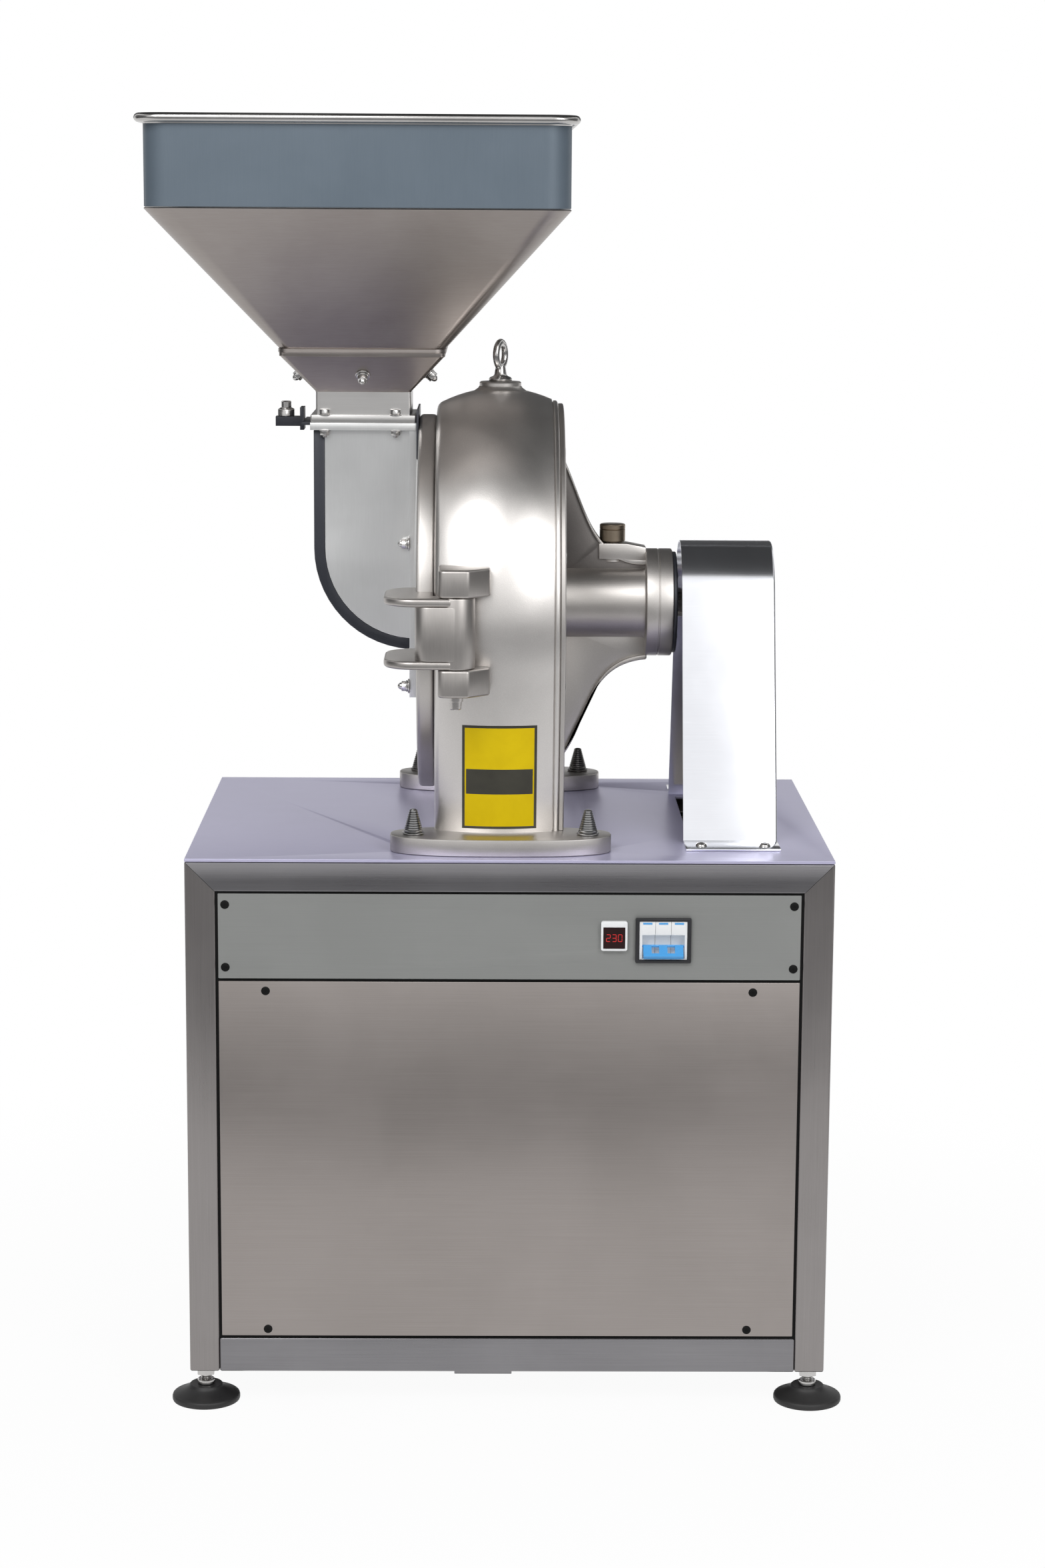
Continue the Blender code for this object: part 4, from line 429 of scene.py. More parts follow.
finishes = {
    "cabinetSheet": {"metallic": 1.0, "dark": (0.33, 0.31, 0.30), "light": (0.46, 0.44, 0.43),
                     "rough": (0.26, 0.40),
                     "stretch": (6.0, 900.0, 900.0), "shares": (0.75, 0.0, 0.25, 0.05), "grainBump": 0.6,
                     "bump": 0.12},
    "controlSheet": {"metallic": 0.35, "dark": (0.26, 0.265, 0.255), "light": (0.31, 0.315, 0.305),
                     "rough": (0.40, 0.50),
                     "stretch": (6.0, 900.0, 900.0), "shares": (0.75, 0.0, 0.25, 0.05), "grainBump": 0.5,
                     "bump": 0.10},
    "frontSheet": {"metallic": 1.0, "dark": (0.28, 0.255, 0.24), "light": (0.39, 0.355, 0.34),
                   "rough": (0.30, 0.40),
                   "stretch": (6.0, 900.0, 900.0), "shares": (0.75, 0.0, 0.25, 0.05), "grainBump": 0.6,
                   "bump": 0.12},
    "tableSheet": {"metallic": 0.60, "dark": (0.56, 0.54, 0.74), "light": (0.72, 0.70, 0.90),
                   "rough": (0.34, 0.46),
                   "stretch": (6.0, 900.0, 900.0), "shares": (0.70, 0.0, 0.30, 0.08), "grainBump": 0.5,
                   "bump": 0.10},
    "tubeSteel": {"metallic": 1.0, "dark": (0.24, 0.225, 0.22), "light": (0.34, 0.32, 0.315),
                  "rough": (0.24, 0.34),
                  "stretch": (900.0, 900.0, 8.0), "shares": (0.75, 0.0, 0.25, 0.05), "grainBump": 0.5,
                  "bump": 0.10},
    "railSteel": {"metallic": 1.0, "dark": (0.19, 0.185, 0.195), "light": (0.29, 0.285, 0.295),
                  "rough": (0.24, 0.34),
                  "stretch": (8.0, 900.0, 900.0), "shares": (0.75, 0.0, 0.25, 0.05), "grainBump": 0.5,
                  "bump": 0.10},
    "hopperSheet": {"metallic": 1.0, "dark": (0.27, 0.24, 0.225), "light": (0.40, 0.37, 0.35),
                    "rough": (0.30, 0.42),
                    "stretch": (30.0, 30.0, 700.0), "shares": (0.55, 0.0, 0.35, 0.05), "grainBump": 0.5,
                    "bump": 0.08},
    "neckSheet": {"metallic": 1.0, "dark": (0.52, 0.51, 0.50), "light": (0.66, 0.65, 0.64),
                  "rough": (0.28, 0.40),
                  "stretch": (8.0, 700.0, 700.0), "shares": (0.65, 0.0, 0.35, 0.05), "grainBump": 0.5,
                  "bump": 0.08},
    "chuteSheet": {"metallic": 0.75, "dark": (0.64, 0.645, 0.64), "light": (0.78, 0.785, 0.78),
                   "rough": (0.34, 0.48),
                   "stretch": (500.0, 500.0, 30.0), "shares": (0.45, 0.0, 0.45, 0.05), "grainBump": 0.4,
                   "bump": 0.08},
    "castSteel": {"metallic": 1.0, "dark": (0.62, 0.595, 0.575), "light": (0.84, 0.815, 0.79),
                  "rough": (0.30, 0.42),
                  "skin": 900.0, "shares": (0.0, 0.55, 0.45, 0.0), "skinBump": 1.0, "bump": 0.22},
    "castSatin": {"metallic": 1.0, "dark": (0.46, 0.44, 0.42), "light": (0.62, 0.595, 0.575),
                  "rough": (0.36, 0.46),
                  "skin": 900.0, "shares": (0.0, 0.55, 0.45, 0.0), "skinBump": 1.0, "bump": 0.16},
    "lugSteel": {"metallic": 1.0, "dark": (0.36, 0.34, 0.325), "light": (0.52, 0.495, 0.475),
                 "rough": (0.34, 0.44),
                 "stretch": (700.0, 700.0, 40.0), "shares": (0.60, 0.0, 0.40, 0.0), "grainBump": 0.4,
                 "bump": 0.08},
    "boltSteel": {"metallic": 1.0, "dark": (0.22, 0.22, 0.22), "light": (0.44, 0.44, 0.44),
                  "rough": (0.22, 0.34),
                  "stretch": (60.0, 60.0, 1200.0), "shares": (0.6, 0.0, 0.4, 0.0), "grainBump": 0.5,
                  "bump": 0.10},
    "screwBlack": {"metallic": 0.0, "dark": (0.004, 0.004, 0.004), "light": (0.010, 0.010, 0.010),
                   "rough": (0.55, 0.70),
                   "fixed": {"Specular IOR Level": 0.12}, "skin": 1600.0, "shares": (0.0, 0.6, 0.4, 0.0),
                   "skinBump": 0.5, "bump": 0.08},
    # a darker copy of the cast steel: painted shade for the upper web
    "castPaintedShade": {"metallic": 1.0, "dark": (0.14, 0.13, 0.125), "light": (0.21, 0.195, 0.185),
                  "rough": (0.34, 0.46),
                  "skin": 900.0, "shares": (0.0, 0.55, 0.45, 0.0), "skinBump": 1.0, "bump": 0.22},
    "machinedSteel": {"metallic": 1.0, "dark": (0.42, 0.40, 0.39), "light": (0.60, 0.58, 0.56),
                      "rough": (0.20, 0.34),
                      "stretch": (60.0, 60.0, 1800.0), "shares": (0.70, 0.0, 0.30, 0.05), "grainBump": 0.6,
                      "bump": 0.12},
    "polishedSheet": {"metallic": 1.0, "dark": (0.76, 0.77, 0.81), "light": (0.90, 0.91, 0.95),
                      "rough": (0.15, 0.20),
                      "stretch": (8.0, 900.0, 900.0), "shares": (0.45, 0.0, 0.55, 0.10), "grainBump": 0.3,
                      "bump": 0.05},
    "polishedRim": {"metallic": 1.0, "dark": (0.42, 0.41, 0.40), "light": (0.58, 0.57, 0.56),
                    "rough": (0.20, 0.30),
                    "stretch": (60.0, 60.0, 900.0), "shares": (0.55, 0.0, 0.45, 0.05), "grainBump": 0.3,
                    "bump": 0.06},
    "plated": {"metallic": 1.0, "dark": (0.48, 0.47, 0.46), "light": (0.66, 0.65, 0.64),
               "rough": (0.16, 0.28),
               "skin": 1500.0, "shares": (0.0, 0.4, 0.6, 0.0), "skinBump": 0.6, "bump": 0.08},
    # dark bolt steel; on the rear base bolts it is painted shade
    "darkBoltSteel": {"metallic": 1.0, "dark": (0.10, 0.10, 0.10), "light": (0.22, 0.21, 0.20),
                 "rough": (0.30, 0.45),
                 "skin": 1500.0, "shares": (0.0, 0.5, 0.5, 0.0), "skinBump": 0.6, "bump": 0.10},
    "bronzed": {"metallic": 1.0, "dark": (0.20, 0.16, 0.12), "light": (0.36, 0.30, 0.23),
                "rough": (0.28, 0.40),
                "stretch": (60.0, 60.0, 1500.0), "shares": (0.55, 0.0, 0.45, 0.0), "grainBump": 0.6,
                "bump": 0.10},
    "bandPaint": {"metallic": 0.15, "dark": (0.095, 0.125, 0.155), "light": (0.135, 0.170, 0.205),
                  "rough": (0.38, 0.50),
                  "stretch": (700.0, 700.0, 20.0), "skin": 1200.0, "shares": (0.45, 0.15, 0.40, 0.02),
                  "skinBump": 0.4, "grainBump": 0.3, "bump": 0.06},
    "darkTrim": {"metallic": 0.3, "dark": (0.018, 0.020, 0.026), "light": (0.045, 0.048, 0.060),
                 "rough": (0.34, 0.46),
                 "skin": 1200.0, "shares": (0.0, 0.6, 0.4, 0.0), "skinBump": 0.6, "bump": 0.10},
    "blackPlastic": {"metallic": 0.0, "dark": (0.010, 0.010, 0.012), "light": (0.026, 0.026, 0.030),
                     "rough": (0.34, 0.50),
                     "skin": 1600.0, "shares": (0.0, 0.6, 0.4, 0.0), "skinBump": 1.0, "bump": 0.15},
    "blackRubber": {"metallic": 0.0, "dark": (0.008, 0.008, 0.009), "light": (0.030, 0.029, 0.028),
                    "rough": (0.45, 0.65),
                    "skin": 900.0, "shares": (0.0, 0.5, 0.5, 0.0), "skinBump": 1.0, "bump": 0.20},
    "whitePlastic": {"metallic": 0.0, "dark": (0.84, 0.85, 0.85), "light": (0.91, 0.92, 0.92),
                     "rough": (0.28, 0.40),
                     "skin": 1600.0, "shares": (0.0, 0.5, 0.5, 0.0), "skinBump": 0.6, "bump": 0.08},
    "bluePlastic": {"metallic": 0.0, "dark": (0.07, 0.36, 0.78), "light": (0.10, 0.44, 0.88),
                    "rough": (0.22, 0.34),
                    "skin": 1600.0, "shares": (0.0, 0.5, 0.5, 0.0), "skinBump": 0.5, "bump": 0.06},
    "lensRed": {"metallic": 0.0, "dark": (0.012, 0.001, 0.001), "light": (0.020, 0.002, 0.002),
                "rough": (0.06, 0.12), "patch": 60.0, "shares": (0.0, 0.0, 1.0, 0.0), "bump": 0.0},
    "figureRed": {"metallic": 0.0, "dark": (0.42, 0.010, 0.012), "light": (0.55, 0.02, 0.02),
                  "rough": (0.3, 0.4), "patch": 60.0, "shares": (0.0, 0.0, 1.0, 0.0), "bump": 0.0,
                  "fixed": {"Emission Color": (1.0, 0.05, 0.05, 1), "Emission Strength": 0.35}},
    "labelYellow": {"metallic": 0.0, "dark": (0.68, 0.48, 0.001), "light": (0.78, 0.57, 0.003),
                    "rough": (0.42, 0.52),
                    "fixed": {"Specular IOR Level": 0.15}, "skin": 1400.0, "patch": 20.0,
                    "shares": (0.0, 0.3, 0.7, 0.0), "skinBump": 0.5, "bump": 0.05},
    "labelBlack": {"metallic": 0.0, "dark": (0.022, 0.020, 0.012), "light": (0.045, 0.042, 0.028),
                   "rough": (0.30, 0.40),
                   "skin": 1400.0, "patch": 20.0, "shares": (0.0, 0.3, 0.7, 0.0), "skinBump": 0.5,
                   "bump": 0.05},
    "motorPaint": {"metallic": 0.1, "dark": (0.10, 0.115, 0.13), "light": (0.15, 0.17, 0.19),
                   "rough": (0.36, 0.52),
                   "skin": 700.0, "shares": (0.0, 0.5, 0.5, 0.0), "skinBump": 1.0, "bump": 0.18},
    "turnedIron": {"metallic": 1.0, "dark": (0.13, 0.13, 0.14), "light": (0.24, 0.24, 0.25),
                   "rough": (0.30, 0.46),
                   "stretch": (900.0, 60.0, 60.0), "shares": (0.55, 0.0, 0.45, 0.0), "grainBump": 0.8,
                   "bump": 0.14},
    "wornSteel": {"metallic": 1.0, "dark": (0.20, 0.19, 0.18), "light": (0.42, 0.40, 0.38),
                  "rough": (0.26, 0.50),
                  "skin": 500.0, "patch": 14.0, "shares": (0.0, 0.35, 0.65, 0.10), "skinBump": 1.0,
                  "bump": 0.20},
}
materials = {name: madeMaterial(name, look) for name, look in finishes.items()}
print("materials made:", len(materials))


# fasteners, modelled once on the origin and copied

def hexSolid(acrossFlats, height, chamfer):
    # a hexagon prism with its top corners turned off
    clearSelection()
    radius = acrossFlats / math.sqrt(3)
    bpy.ops.mesh.primitive_cylinder_add(vertices=6, radius=radius, depth=height,
                                        location=(0, 0, height / 2))
    piece = applyPlace(bpy.context.object)
    editAll(piece)
    bpy.ops.mesh.select_all(action="DESELECT")
    leaveEdit()
    for face in piece.data.polygons:
        face.select = face.normal.z > 0.9
    bpy.ops.object.mode_set(mode="EDIT")
    bpy.ops.mesh.inset(thickness=chamfer, depth=0)
    bpy.ops.transform.translate(value=(0, 0, chamfer * 0.55))
    leaveEdit()
    return softEdges(piece, chamfer * 0.25, 1)


def washer(inner, outer, low, high, steps=32):
    edge = (high - low) * 0.25
    return spun("Z", (0, 0), [(low, inner), (low, outer - edge), (low + edge, outer), (high - edge, outer),
                              (high, outer - edge), (high, inner), (low, inner)], steps)


def threadedEnd(radius, low, high, pitch, steps=20):
    # a stud with ring grooves for its thread and a turned tip
    profile = [(low, 0.0), (low, radius)]
    place = low + pitch / 2
    while place < high - 1.6 * pitch:
        profile += [(place, radius), (place + pitch / 2, radius - pitch * 0.45)]
        place += pitch
    profile += [(high - pitch * 1.2, radius), (high - pitch * 0.2, radius - pitch),
                (high, radius - pitch * 1.4), (high, 0.0)]
    return spun("Z", (0, 0), profile, steps)


def domeHead(radius, height, recess, steps=32):
    # a button head with a hexagon recess
    arc = [(height * math.sin(t), radius * math.cos(t)) for t in [math.radians(a)
                                                                  for a in range(0, 66, 11)]]
    profile = [(0.0, 0.0), (0.0, radius)] + arc[1:] + [(arc[-1][0], 0.0)]
    piece = spun("Z", (0, 0), profile, steps)
    clearSelection()
    bpy.ops.mesh.primitive_cylinder_add(vertices=6, radius=recess, depth=height,
                                        location=(0, 0, height * 1.05))
    return cutOut(piece, applyPlace(bpy.context.object))


facing = {"up": (0, 0, 0), "down": (math.pi, 0, 0), "front": (math.pi / 2, 0, 0),
          "rear": (-math.pi / 2, 0, 0), "left": (0, -math.pi / 2, 0), "right": (0, math.pi / 2, 0)}


def fastened(name, kind, places, body, finish, replaced=()):
    # copies of one fastener at many places, kept as one piece
    copies = [copied(kind, point, facing[way]) for point, way in places]
    return finished(joined(name, *copies), name, body, finish, replaced, angle=32)


boltSizes = {"panelHead": 0.0050, "panelHeight": 0.0014, "guardHead": 0.0068, "guardHeight": 0.0050,
             "flangeFlats": 0.0115, "flangeHeight": 0.0050, "wallHead": 0.0075, "wallHeight": 0.0012}
panelScrew = domeHead(boltSizes["panelHead"], boltSizes["panelHeight"], 0.0014)
guardScrew = domeHead(boltSizes["guardHead"], boltSizes["guardHeight"], 0.0025)
flangeBolt = joined(
    "flange bolt",
    washer(0.003, 0.0072, 0.0, 0.0014),
    shifted(hexSolid(boltSizes["flangeFlats"], boltSizes["flangeHeight"], 0.0012), (0, 0, 0.0014)),
)
flangeNut = joined(
    "flange nut",
    washer(0.003, 0.0068, 0.0, 0.0012),
    shifted(hexSolid(0.0105, 0.0045, 0.0010), (0, 0, 0.0012)),
    threadedEnd(0.0030, 0.0, 0.0090, 0.0009),
)
wallScrew = domeHead(boltSizes["wallHead"], boltSizes["wallHeight"], 0.0030)
acornNut = joined(
    "acorn nut",
    washer(0.003, 0.0085, 0.0, 0.0018),
    shifted(washer(0.003, 0.0068, 0.0, 0.0020), (0, 0, 0.0020)),
    shifted(hexSolid(0.0110, 0.0050, 0.0010), (0, 0, 0.0040)),
    spun("Z", (0, 0), [(0.0088, 0.0)] + [(0.0088 + 0.0052 * math.sin(math.radians(a)),
                                          0.0042 * math.cos(math.radians(a)))
                                         for a in range(0, 91, 15)], 24),
)
templates = [panelScrew, guardScrew, flangeBolt, flangeNut, wallScrew, acornNut]
print("fasteners modelled")


# mill casing

shaftHeight = 0.260
past = 0.01              # how far a cutter runs beyond what it cuts
casing = {"left": -0.0862, "right": 0.0552, "edgeRadius": 0.232, "crown": 0.0195, "fillet": 0.006,
          "baseHalf": 0.203,
          "below": -0.06, "slope": 0.2071, "lip": 0.0072, "chamber": 0.222, "wall": 0.006, "gap": 0.0003,
          "outlet": (-0.0655, 0.0345), "outletHalf": 0.1, "footThickness": 0.0195, "footCentre": -0.0105,
          "footHalf": 0.1255, "footOut": 0.2075, "footReach": 0.0425, "footCorner": 2.6}
casingMiddle = (casing["left"] + casing["right"] + casing["gap"] + casing["wall"]) / 2


def crownRadius(x):
    share = (x - casingMiddle) / ((casing["right"] - casing["left"] + casing["gap"] + casing["wall"]) / 2)
    return casing["edgeRadius"] + casing["crown"] * (1 - share * share)


def archShell(stations, steps):
    # the casing's outline pulled along the shaft, wider or narrower at each station
    fullest = casing["edgeRadius"] + casing["crown"]
    below = casing["below"]
    first = stations[0]
    factor = first[1] / fullest
    outline = archLine(fullest, casing["baseHalf"] + below * casing["slope"], shaftHeight, below, steps)
    drawLine([(first[0], y * factor, shaftHeight + (z - shaftHeight) * factor) for y, z in outline],
             closed=True)
    for (x0, r0), (x1, r1) in zip(stations, stations[1:]):
        pull((x1 - x0, 0, 0))
        grow((1, r1 / r0, r1 / r0), (x1, 0, shaftHeight))
    return tidyShell()


def trimBelow(piece, height):
    editAll(piece)
    bpy.ops.mesh.bisect(plane_co=(0, 0, height), plane_no=(0, 0, 1), use_fill=True, clear_inner=True)
    return tidyShell()


def footPlan(side, steps=96):
    # a full-cornered oval
    points = []
    for i in range(steps):
        turn = 2 * math.pi * i / steps
        across, up = [math.copysign(abs(share) ** (2 / casing["footCorner"]), share)
                      for share in (math.cos(turn), math.sin(turn))]
        points.append((casing["footCentre"] + across * casing["footHalf"],
                       side * casing["footOut"] + up * casing["footReach"]))
    return points


def chamberBar():
    return roundBar("X", (0, shaftHeight), casing["left"] - past, casing["right"] + past, casing["chamber"],
                    96)


def makeCasing():
    left, right, fillet = casing["left"], casing["right"], casing["fillet"]
    stations = []
    for degrees in range(0, 91, 15):
        a = math.radians(degrees)
        x = left + fillet * (1 - math.cos(a))
        stations.append((x, crownRadius(x) - fillet * (1 - math.sin(a))))
    lipStart = right - casing["lip"]
    for i in range(1, 15):
        x = left + fillet + (lipStart - left - fillet) * i / 14
        stations.append((x, crownRadius(x)))
    edge = crownRadius(right)
    stations += [(lipStart + 0.0003, edge - 0.0012), (lipStart + 0.0012, edge - 0.0014),
                 (lipStart + 0.0015, edge + 0.0010),
                 (lipStart + 0.0024, edge + 0.0017), (lipStart + 0.0046, edge + 0.0017),
                 (right - 0.0012, edge + 0.0010), (right, edge - 0.0010)]
    shell = trimBelow(archShell(stations, 96), casing["gap"])
    cutOut(shell, chamberBar())
    (near, far), half = casing["outlet"], casing["outletHalf"]
    cutOut(shell, block((near, -half, -0.02), (far, half, 0.10)))
    finished(shell, "casing_shell", "stand", "castSteel", ["mill_casing"], angle=28)

    feet = []
    for side in (-1, 1):
        foot = slab("Z", footPlan(side), casing["gap"], casing["footThickness"])
        cutOut(foot, chamberBar())
        feet.append(softEdges(foot, 0.0014, 3))
    finished(joined("feet", *feet), "casing_feet", "stand", "castSatin", ["mill_casing"])

    boss = spun("Z", (casingMiddle, 0), [(0.489, 0.0), (0.489, 0.034), (0.5085, 0.0305), (0.5115, 0.0262),
                                         (0.5140, 0.0245),
                                         (0.5178, 0.0245), (0.5190, 0.0232), (0.5190, 0.0)], 64)
    finished(boss, "lifting_boss", "stand", "castSatin", ["mill_casing"])


hinge = {"x": -0.0616, "y": -0.2655, "front": -0.2865, "rear": -0.225, "high": 0.2965, "low": 0.2167,
         "height": 0.0310, "left": 0.0197, "right": 0.0140, "reach": 0.0380, "slant": 0.024, "round": 0.008,
         "hole": 0.0088, "roof": 0.006, "pinLow": 0.1704, "pinTop": 0.3208, "pinRadius": 0.0085}
clampLug = {"front": 0.215, "rear": 0.275, "low": 0.240, "high": 0.280, "out": 0.034, "screw": 0.252,
            "hole": 0.0072, "holeEnd": -0.058}


def makeHingeLugs():
    h, c = hinge, clampLug
    side, turn = h["x"] - h["left"], h["round"]
    plan = ([(h["x"] + h["right"], h["front"]), (h["x"] + h["reach"], h["front"] + h["slant"]),
             (h["x"] + h["reach"], h["rear"]), (side, h["rear"])]
            + arcLine((side + turn, h["front"] + turn), turn, 180, 270, 10))
    lugs = []
    for low in (h["high"], h["low"] - h["height"]):
        lug = softEdges(slab("Z", plan, low, low + h["height"]), 0.0030, 4)
        hole = roundBar("Z", (h["x"], h["y"]), low - past, low + h["height"] - h["roof"], h["hole"], 32)
        lugs.append(cutOut(lug, hole))
    rearLug = softEdges(block((casing["left"] + 0.0005, c["front"], c["low"]),
                              (casing["left"] + c["out"], c["rear"], c["high"])), 0.003, 3)
    cutOut(rearLug, roundBar("X", (c["screw"], shaftHeight), -0.1, c["holeEnd"], c["hole"], 32))
    finished(joined("lugs", *lugs, rearLug), "hinge_lugs", "stand", "lugSteel",
             ["mill_casing"])
    low, top, radius = h["pinLow"], h["pinTop"], h["pinRadius"]
    pin = spun("Z", (h["x"], h["y"]), [
        (low, 0.0), (low, 0.0058), (low + 0.0008, 0.0064), (low + 0.009, 0.0072), (low + 0.0092, 0.0082),
        (low + 0.0105, radius), (top, radius), (top, 0.0)], 48)
    finished(pin, "pin_turned", "stand", "machinedSteel", ["hinge_pin"])


makeCasing()
makeHingeLugs()
print("casing and lugs done")


label = {"left": -0.0545, "right": 0.0300, "low": 0.0245, "high": 0.1470, "border": 0.0030,
         "band": (0.0660, 0.0955), "bandInset": 0.0015, "thickness": 0.0003}


def makeLabel():
    # a blank plate that follows the crown, with a plain border and one band
    shell = bpy.data.objects["casing_shell"]
    inside = (label["left"] + label["border"], label["low"] + label["border"],
              label["right"] - label["border"], label["high"] - label["border"])
    bands = [("plate_border", "labelBlack", (label["left"], label["low"], label["right"], label["high"]),
              0.00035),
             ("plate_field", "labelYellow", inside, 0.00055),
             ("plate_band", "labelBlack", (inside[0] + label["bandInset"], label["band"][0],
                                           inside[2] - label["bandInset"], label["band"][1]), 0.00070)]
    for name, finish, (x0, z0, x1, z1), lift in bands:
        clearSelection()
        bpy.ops.mesh.primitive_grid_add(x_subdivisions=24, y_subdivisions=24, size=1,
                                        location=((x0 + x1) / 2, -0.40, (z0 + z1) / 2),
                                        rotation=(math.pi / 2, 0, 0))
        sheet = bpy.context.object
        sheet.scale = (x1 - x0, z1 - z0, 1)
        applyPlace(sheet)
        sheet.location = tableMiddle
        applyPlace(sheet)
        applyModifier(sheet, "SHRINKWRAP", target=shell, wrap_method="PROJECT", use_project_y=True,
                      use_positive_direction=True, use_negative_direction=False, offset=lift)
        applyModifier(sheet, "SOLIDIFY", thickness=label["thickness"], offset=-1)
        finished(sheet, name, "stand", finish, placed=True)


makeLabel()


eye = {"seat": 0.519, "collar": 0.013, "ring": 0.0110, "wire": 0.0040, "rise": 1.25,
       "turn": math.radians(62)}


def makeEyeBolt():
    collar = spun("Z", (casingMiddle, 0), [(0.5080, 0.0), (0.5080, 0.005), (0.5193, 0.005),
                                           (0.5193, 0.0125), (0.5205, 0.0135),
                                           (0.5225, 0.0135), (0.5240, 0.0118), (0.5252, 0.0088),
                                           (0.5270, 0.0072),
                                           (0.5330, 0.0064), (0.5370, 0.0056), (0.5370, 0.0)], 48)
    clearSelection()
    height = eye["seat"] + eye["collar"] + (eye["ring"] + eye["wire"]) * eye["rise"] - 0.001
    bpy.ops.mesh.primitive_torus_add(major_radius=eye["ring"], minor_radius=eye["wire"], major_segments=56,
                                     minor_segments=20, rotation=(math.pi / 2, 0, 0))
    ring = applyPlace(bpy.context.object)
    editAll(ring)
    grow((1, 1, eye["rise"]), (0, 0, 0))
    leaveEdit()
    shifted(ring, (casingMiddle, 0, height), (0, 0, eye["turn"]))
    finished(joined("eye", collar, ring), "lifting_eye", "stand", "plated", ["eye_bolt"],
             angle=40)


makeEyeBolt()


corners = {"front_left": (-1, -1), "front_right": (1, -1), "rear_left": (-1, 1), "rear_right": (1, 1)}
baseBolt = {"spacing": 0.099, "reach": 0.2130, "shank": 0.005, "rings": 9, "ringLow": 0.0052,
            "ringStep": 0.0025, "ringRadius": 0.0102, "ringShrink": 0.00068, "under": -0.0033}


def makeBaseBolts():
    # two washers and a ringed cone cap above the foot, a nut and the stud's end below the table
    b = baseBolt
    top = casing["footThickness"] + casing["gap"]
    rings = []
    for i in range(b["rings"]):
        height, radius = b["ringLow"] + b["ringStep"] * i, b["ringRadius"] - b["ringShrink"] * i
        rings += [(height, radius - 0.0006), (height + 0.0004, radius), (height + 0.0021, radius - 0.0002)]
    stack = joined(
        "base stack",
        washer(b["shank"], 0.0125, 0.0, 0.0022),
        shifted(washer(b["shank"], 0.0108, 0.0, 0.0028), (0, 0, 0.0023)),
        spun("Z", (0, 0), [(b["ringLow"], 0.0)] + rings + [(0.0285, 0.0026), (0.0287, 0.0)], 40),
    )
    below = joined("below", hexSolid(0.0165, 0.0085, 0.0018), threadedEnd(b["shank"], 0.0, 0.0100, 0.0015))
    for name, (sx, sy) in corners.items():
        x, y = casing["footCentre"] + sx * b["spacing"], sy * b["reach"]
        upper = copied(stack, (x, y, top))
        lower = copied(below, (x, y, b["under"]), (math.pi, 0, 0))
        shank = roundBar("Z", (x, y), -0.004, top + 0.001, b["shank"], 24)
        bolt = joined("bolt", upper, lower, shank)
        # the rear bolts take a darker finish than the front ones: painted shade
        finish = "boltSteel" if sy < 0 else "darkBoltSteel"
        finished(bolt, "bolt_" + name, "stand", finish, ["base_bolt_" + name], angle=32)
    for spare in (stack, below):
        bpy.data.objects.remove(spare)


makeBaseBolts()


# bearing housing

lubricator = {"x": 0.121, "seat": 0.3314, "top": 0.3529, "radius": 0.0151, "pocket": 0.0165, "bore": 0.0055,
              "bossLow": 0.3085, "bossRadius": 0.0125, "stem": 0.0050, "stemLength": 0.0117}
housing = {"bore": 0.0363, "barrel": 0.0420, "ring": 0.0635, "right": 0.1915, "webEnd": 0.1625,
           "webHalf": 0.010,
           "lip": 0.006, "lipHalf": 0.0145, "padHalf": 0.0150, "screwCircle": 0.212, "capFace": 0.1960,
           "capCircle": 0.050}


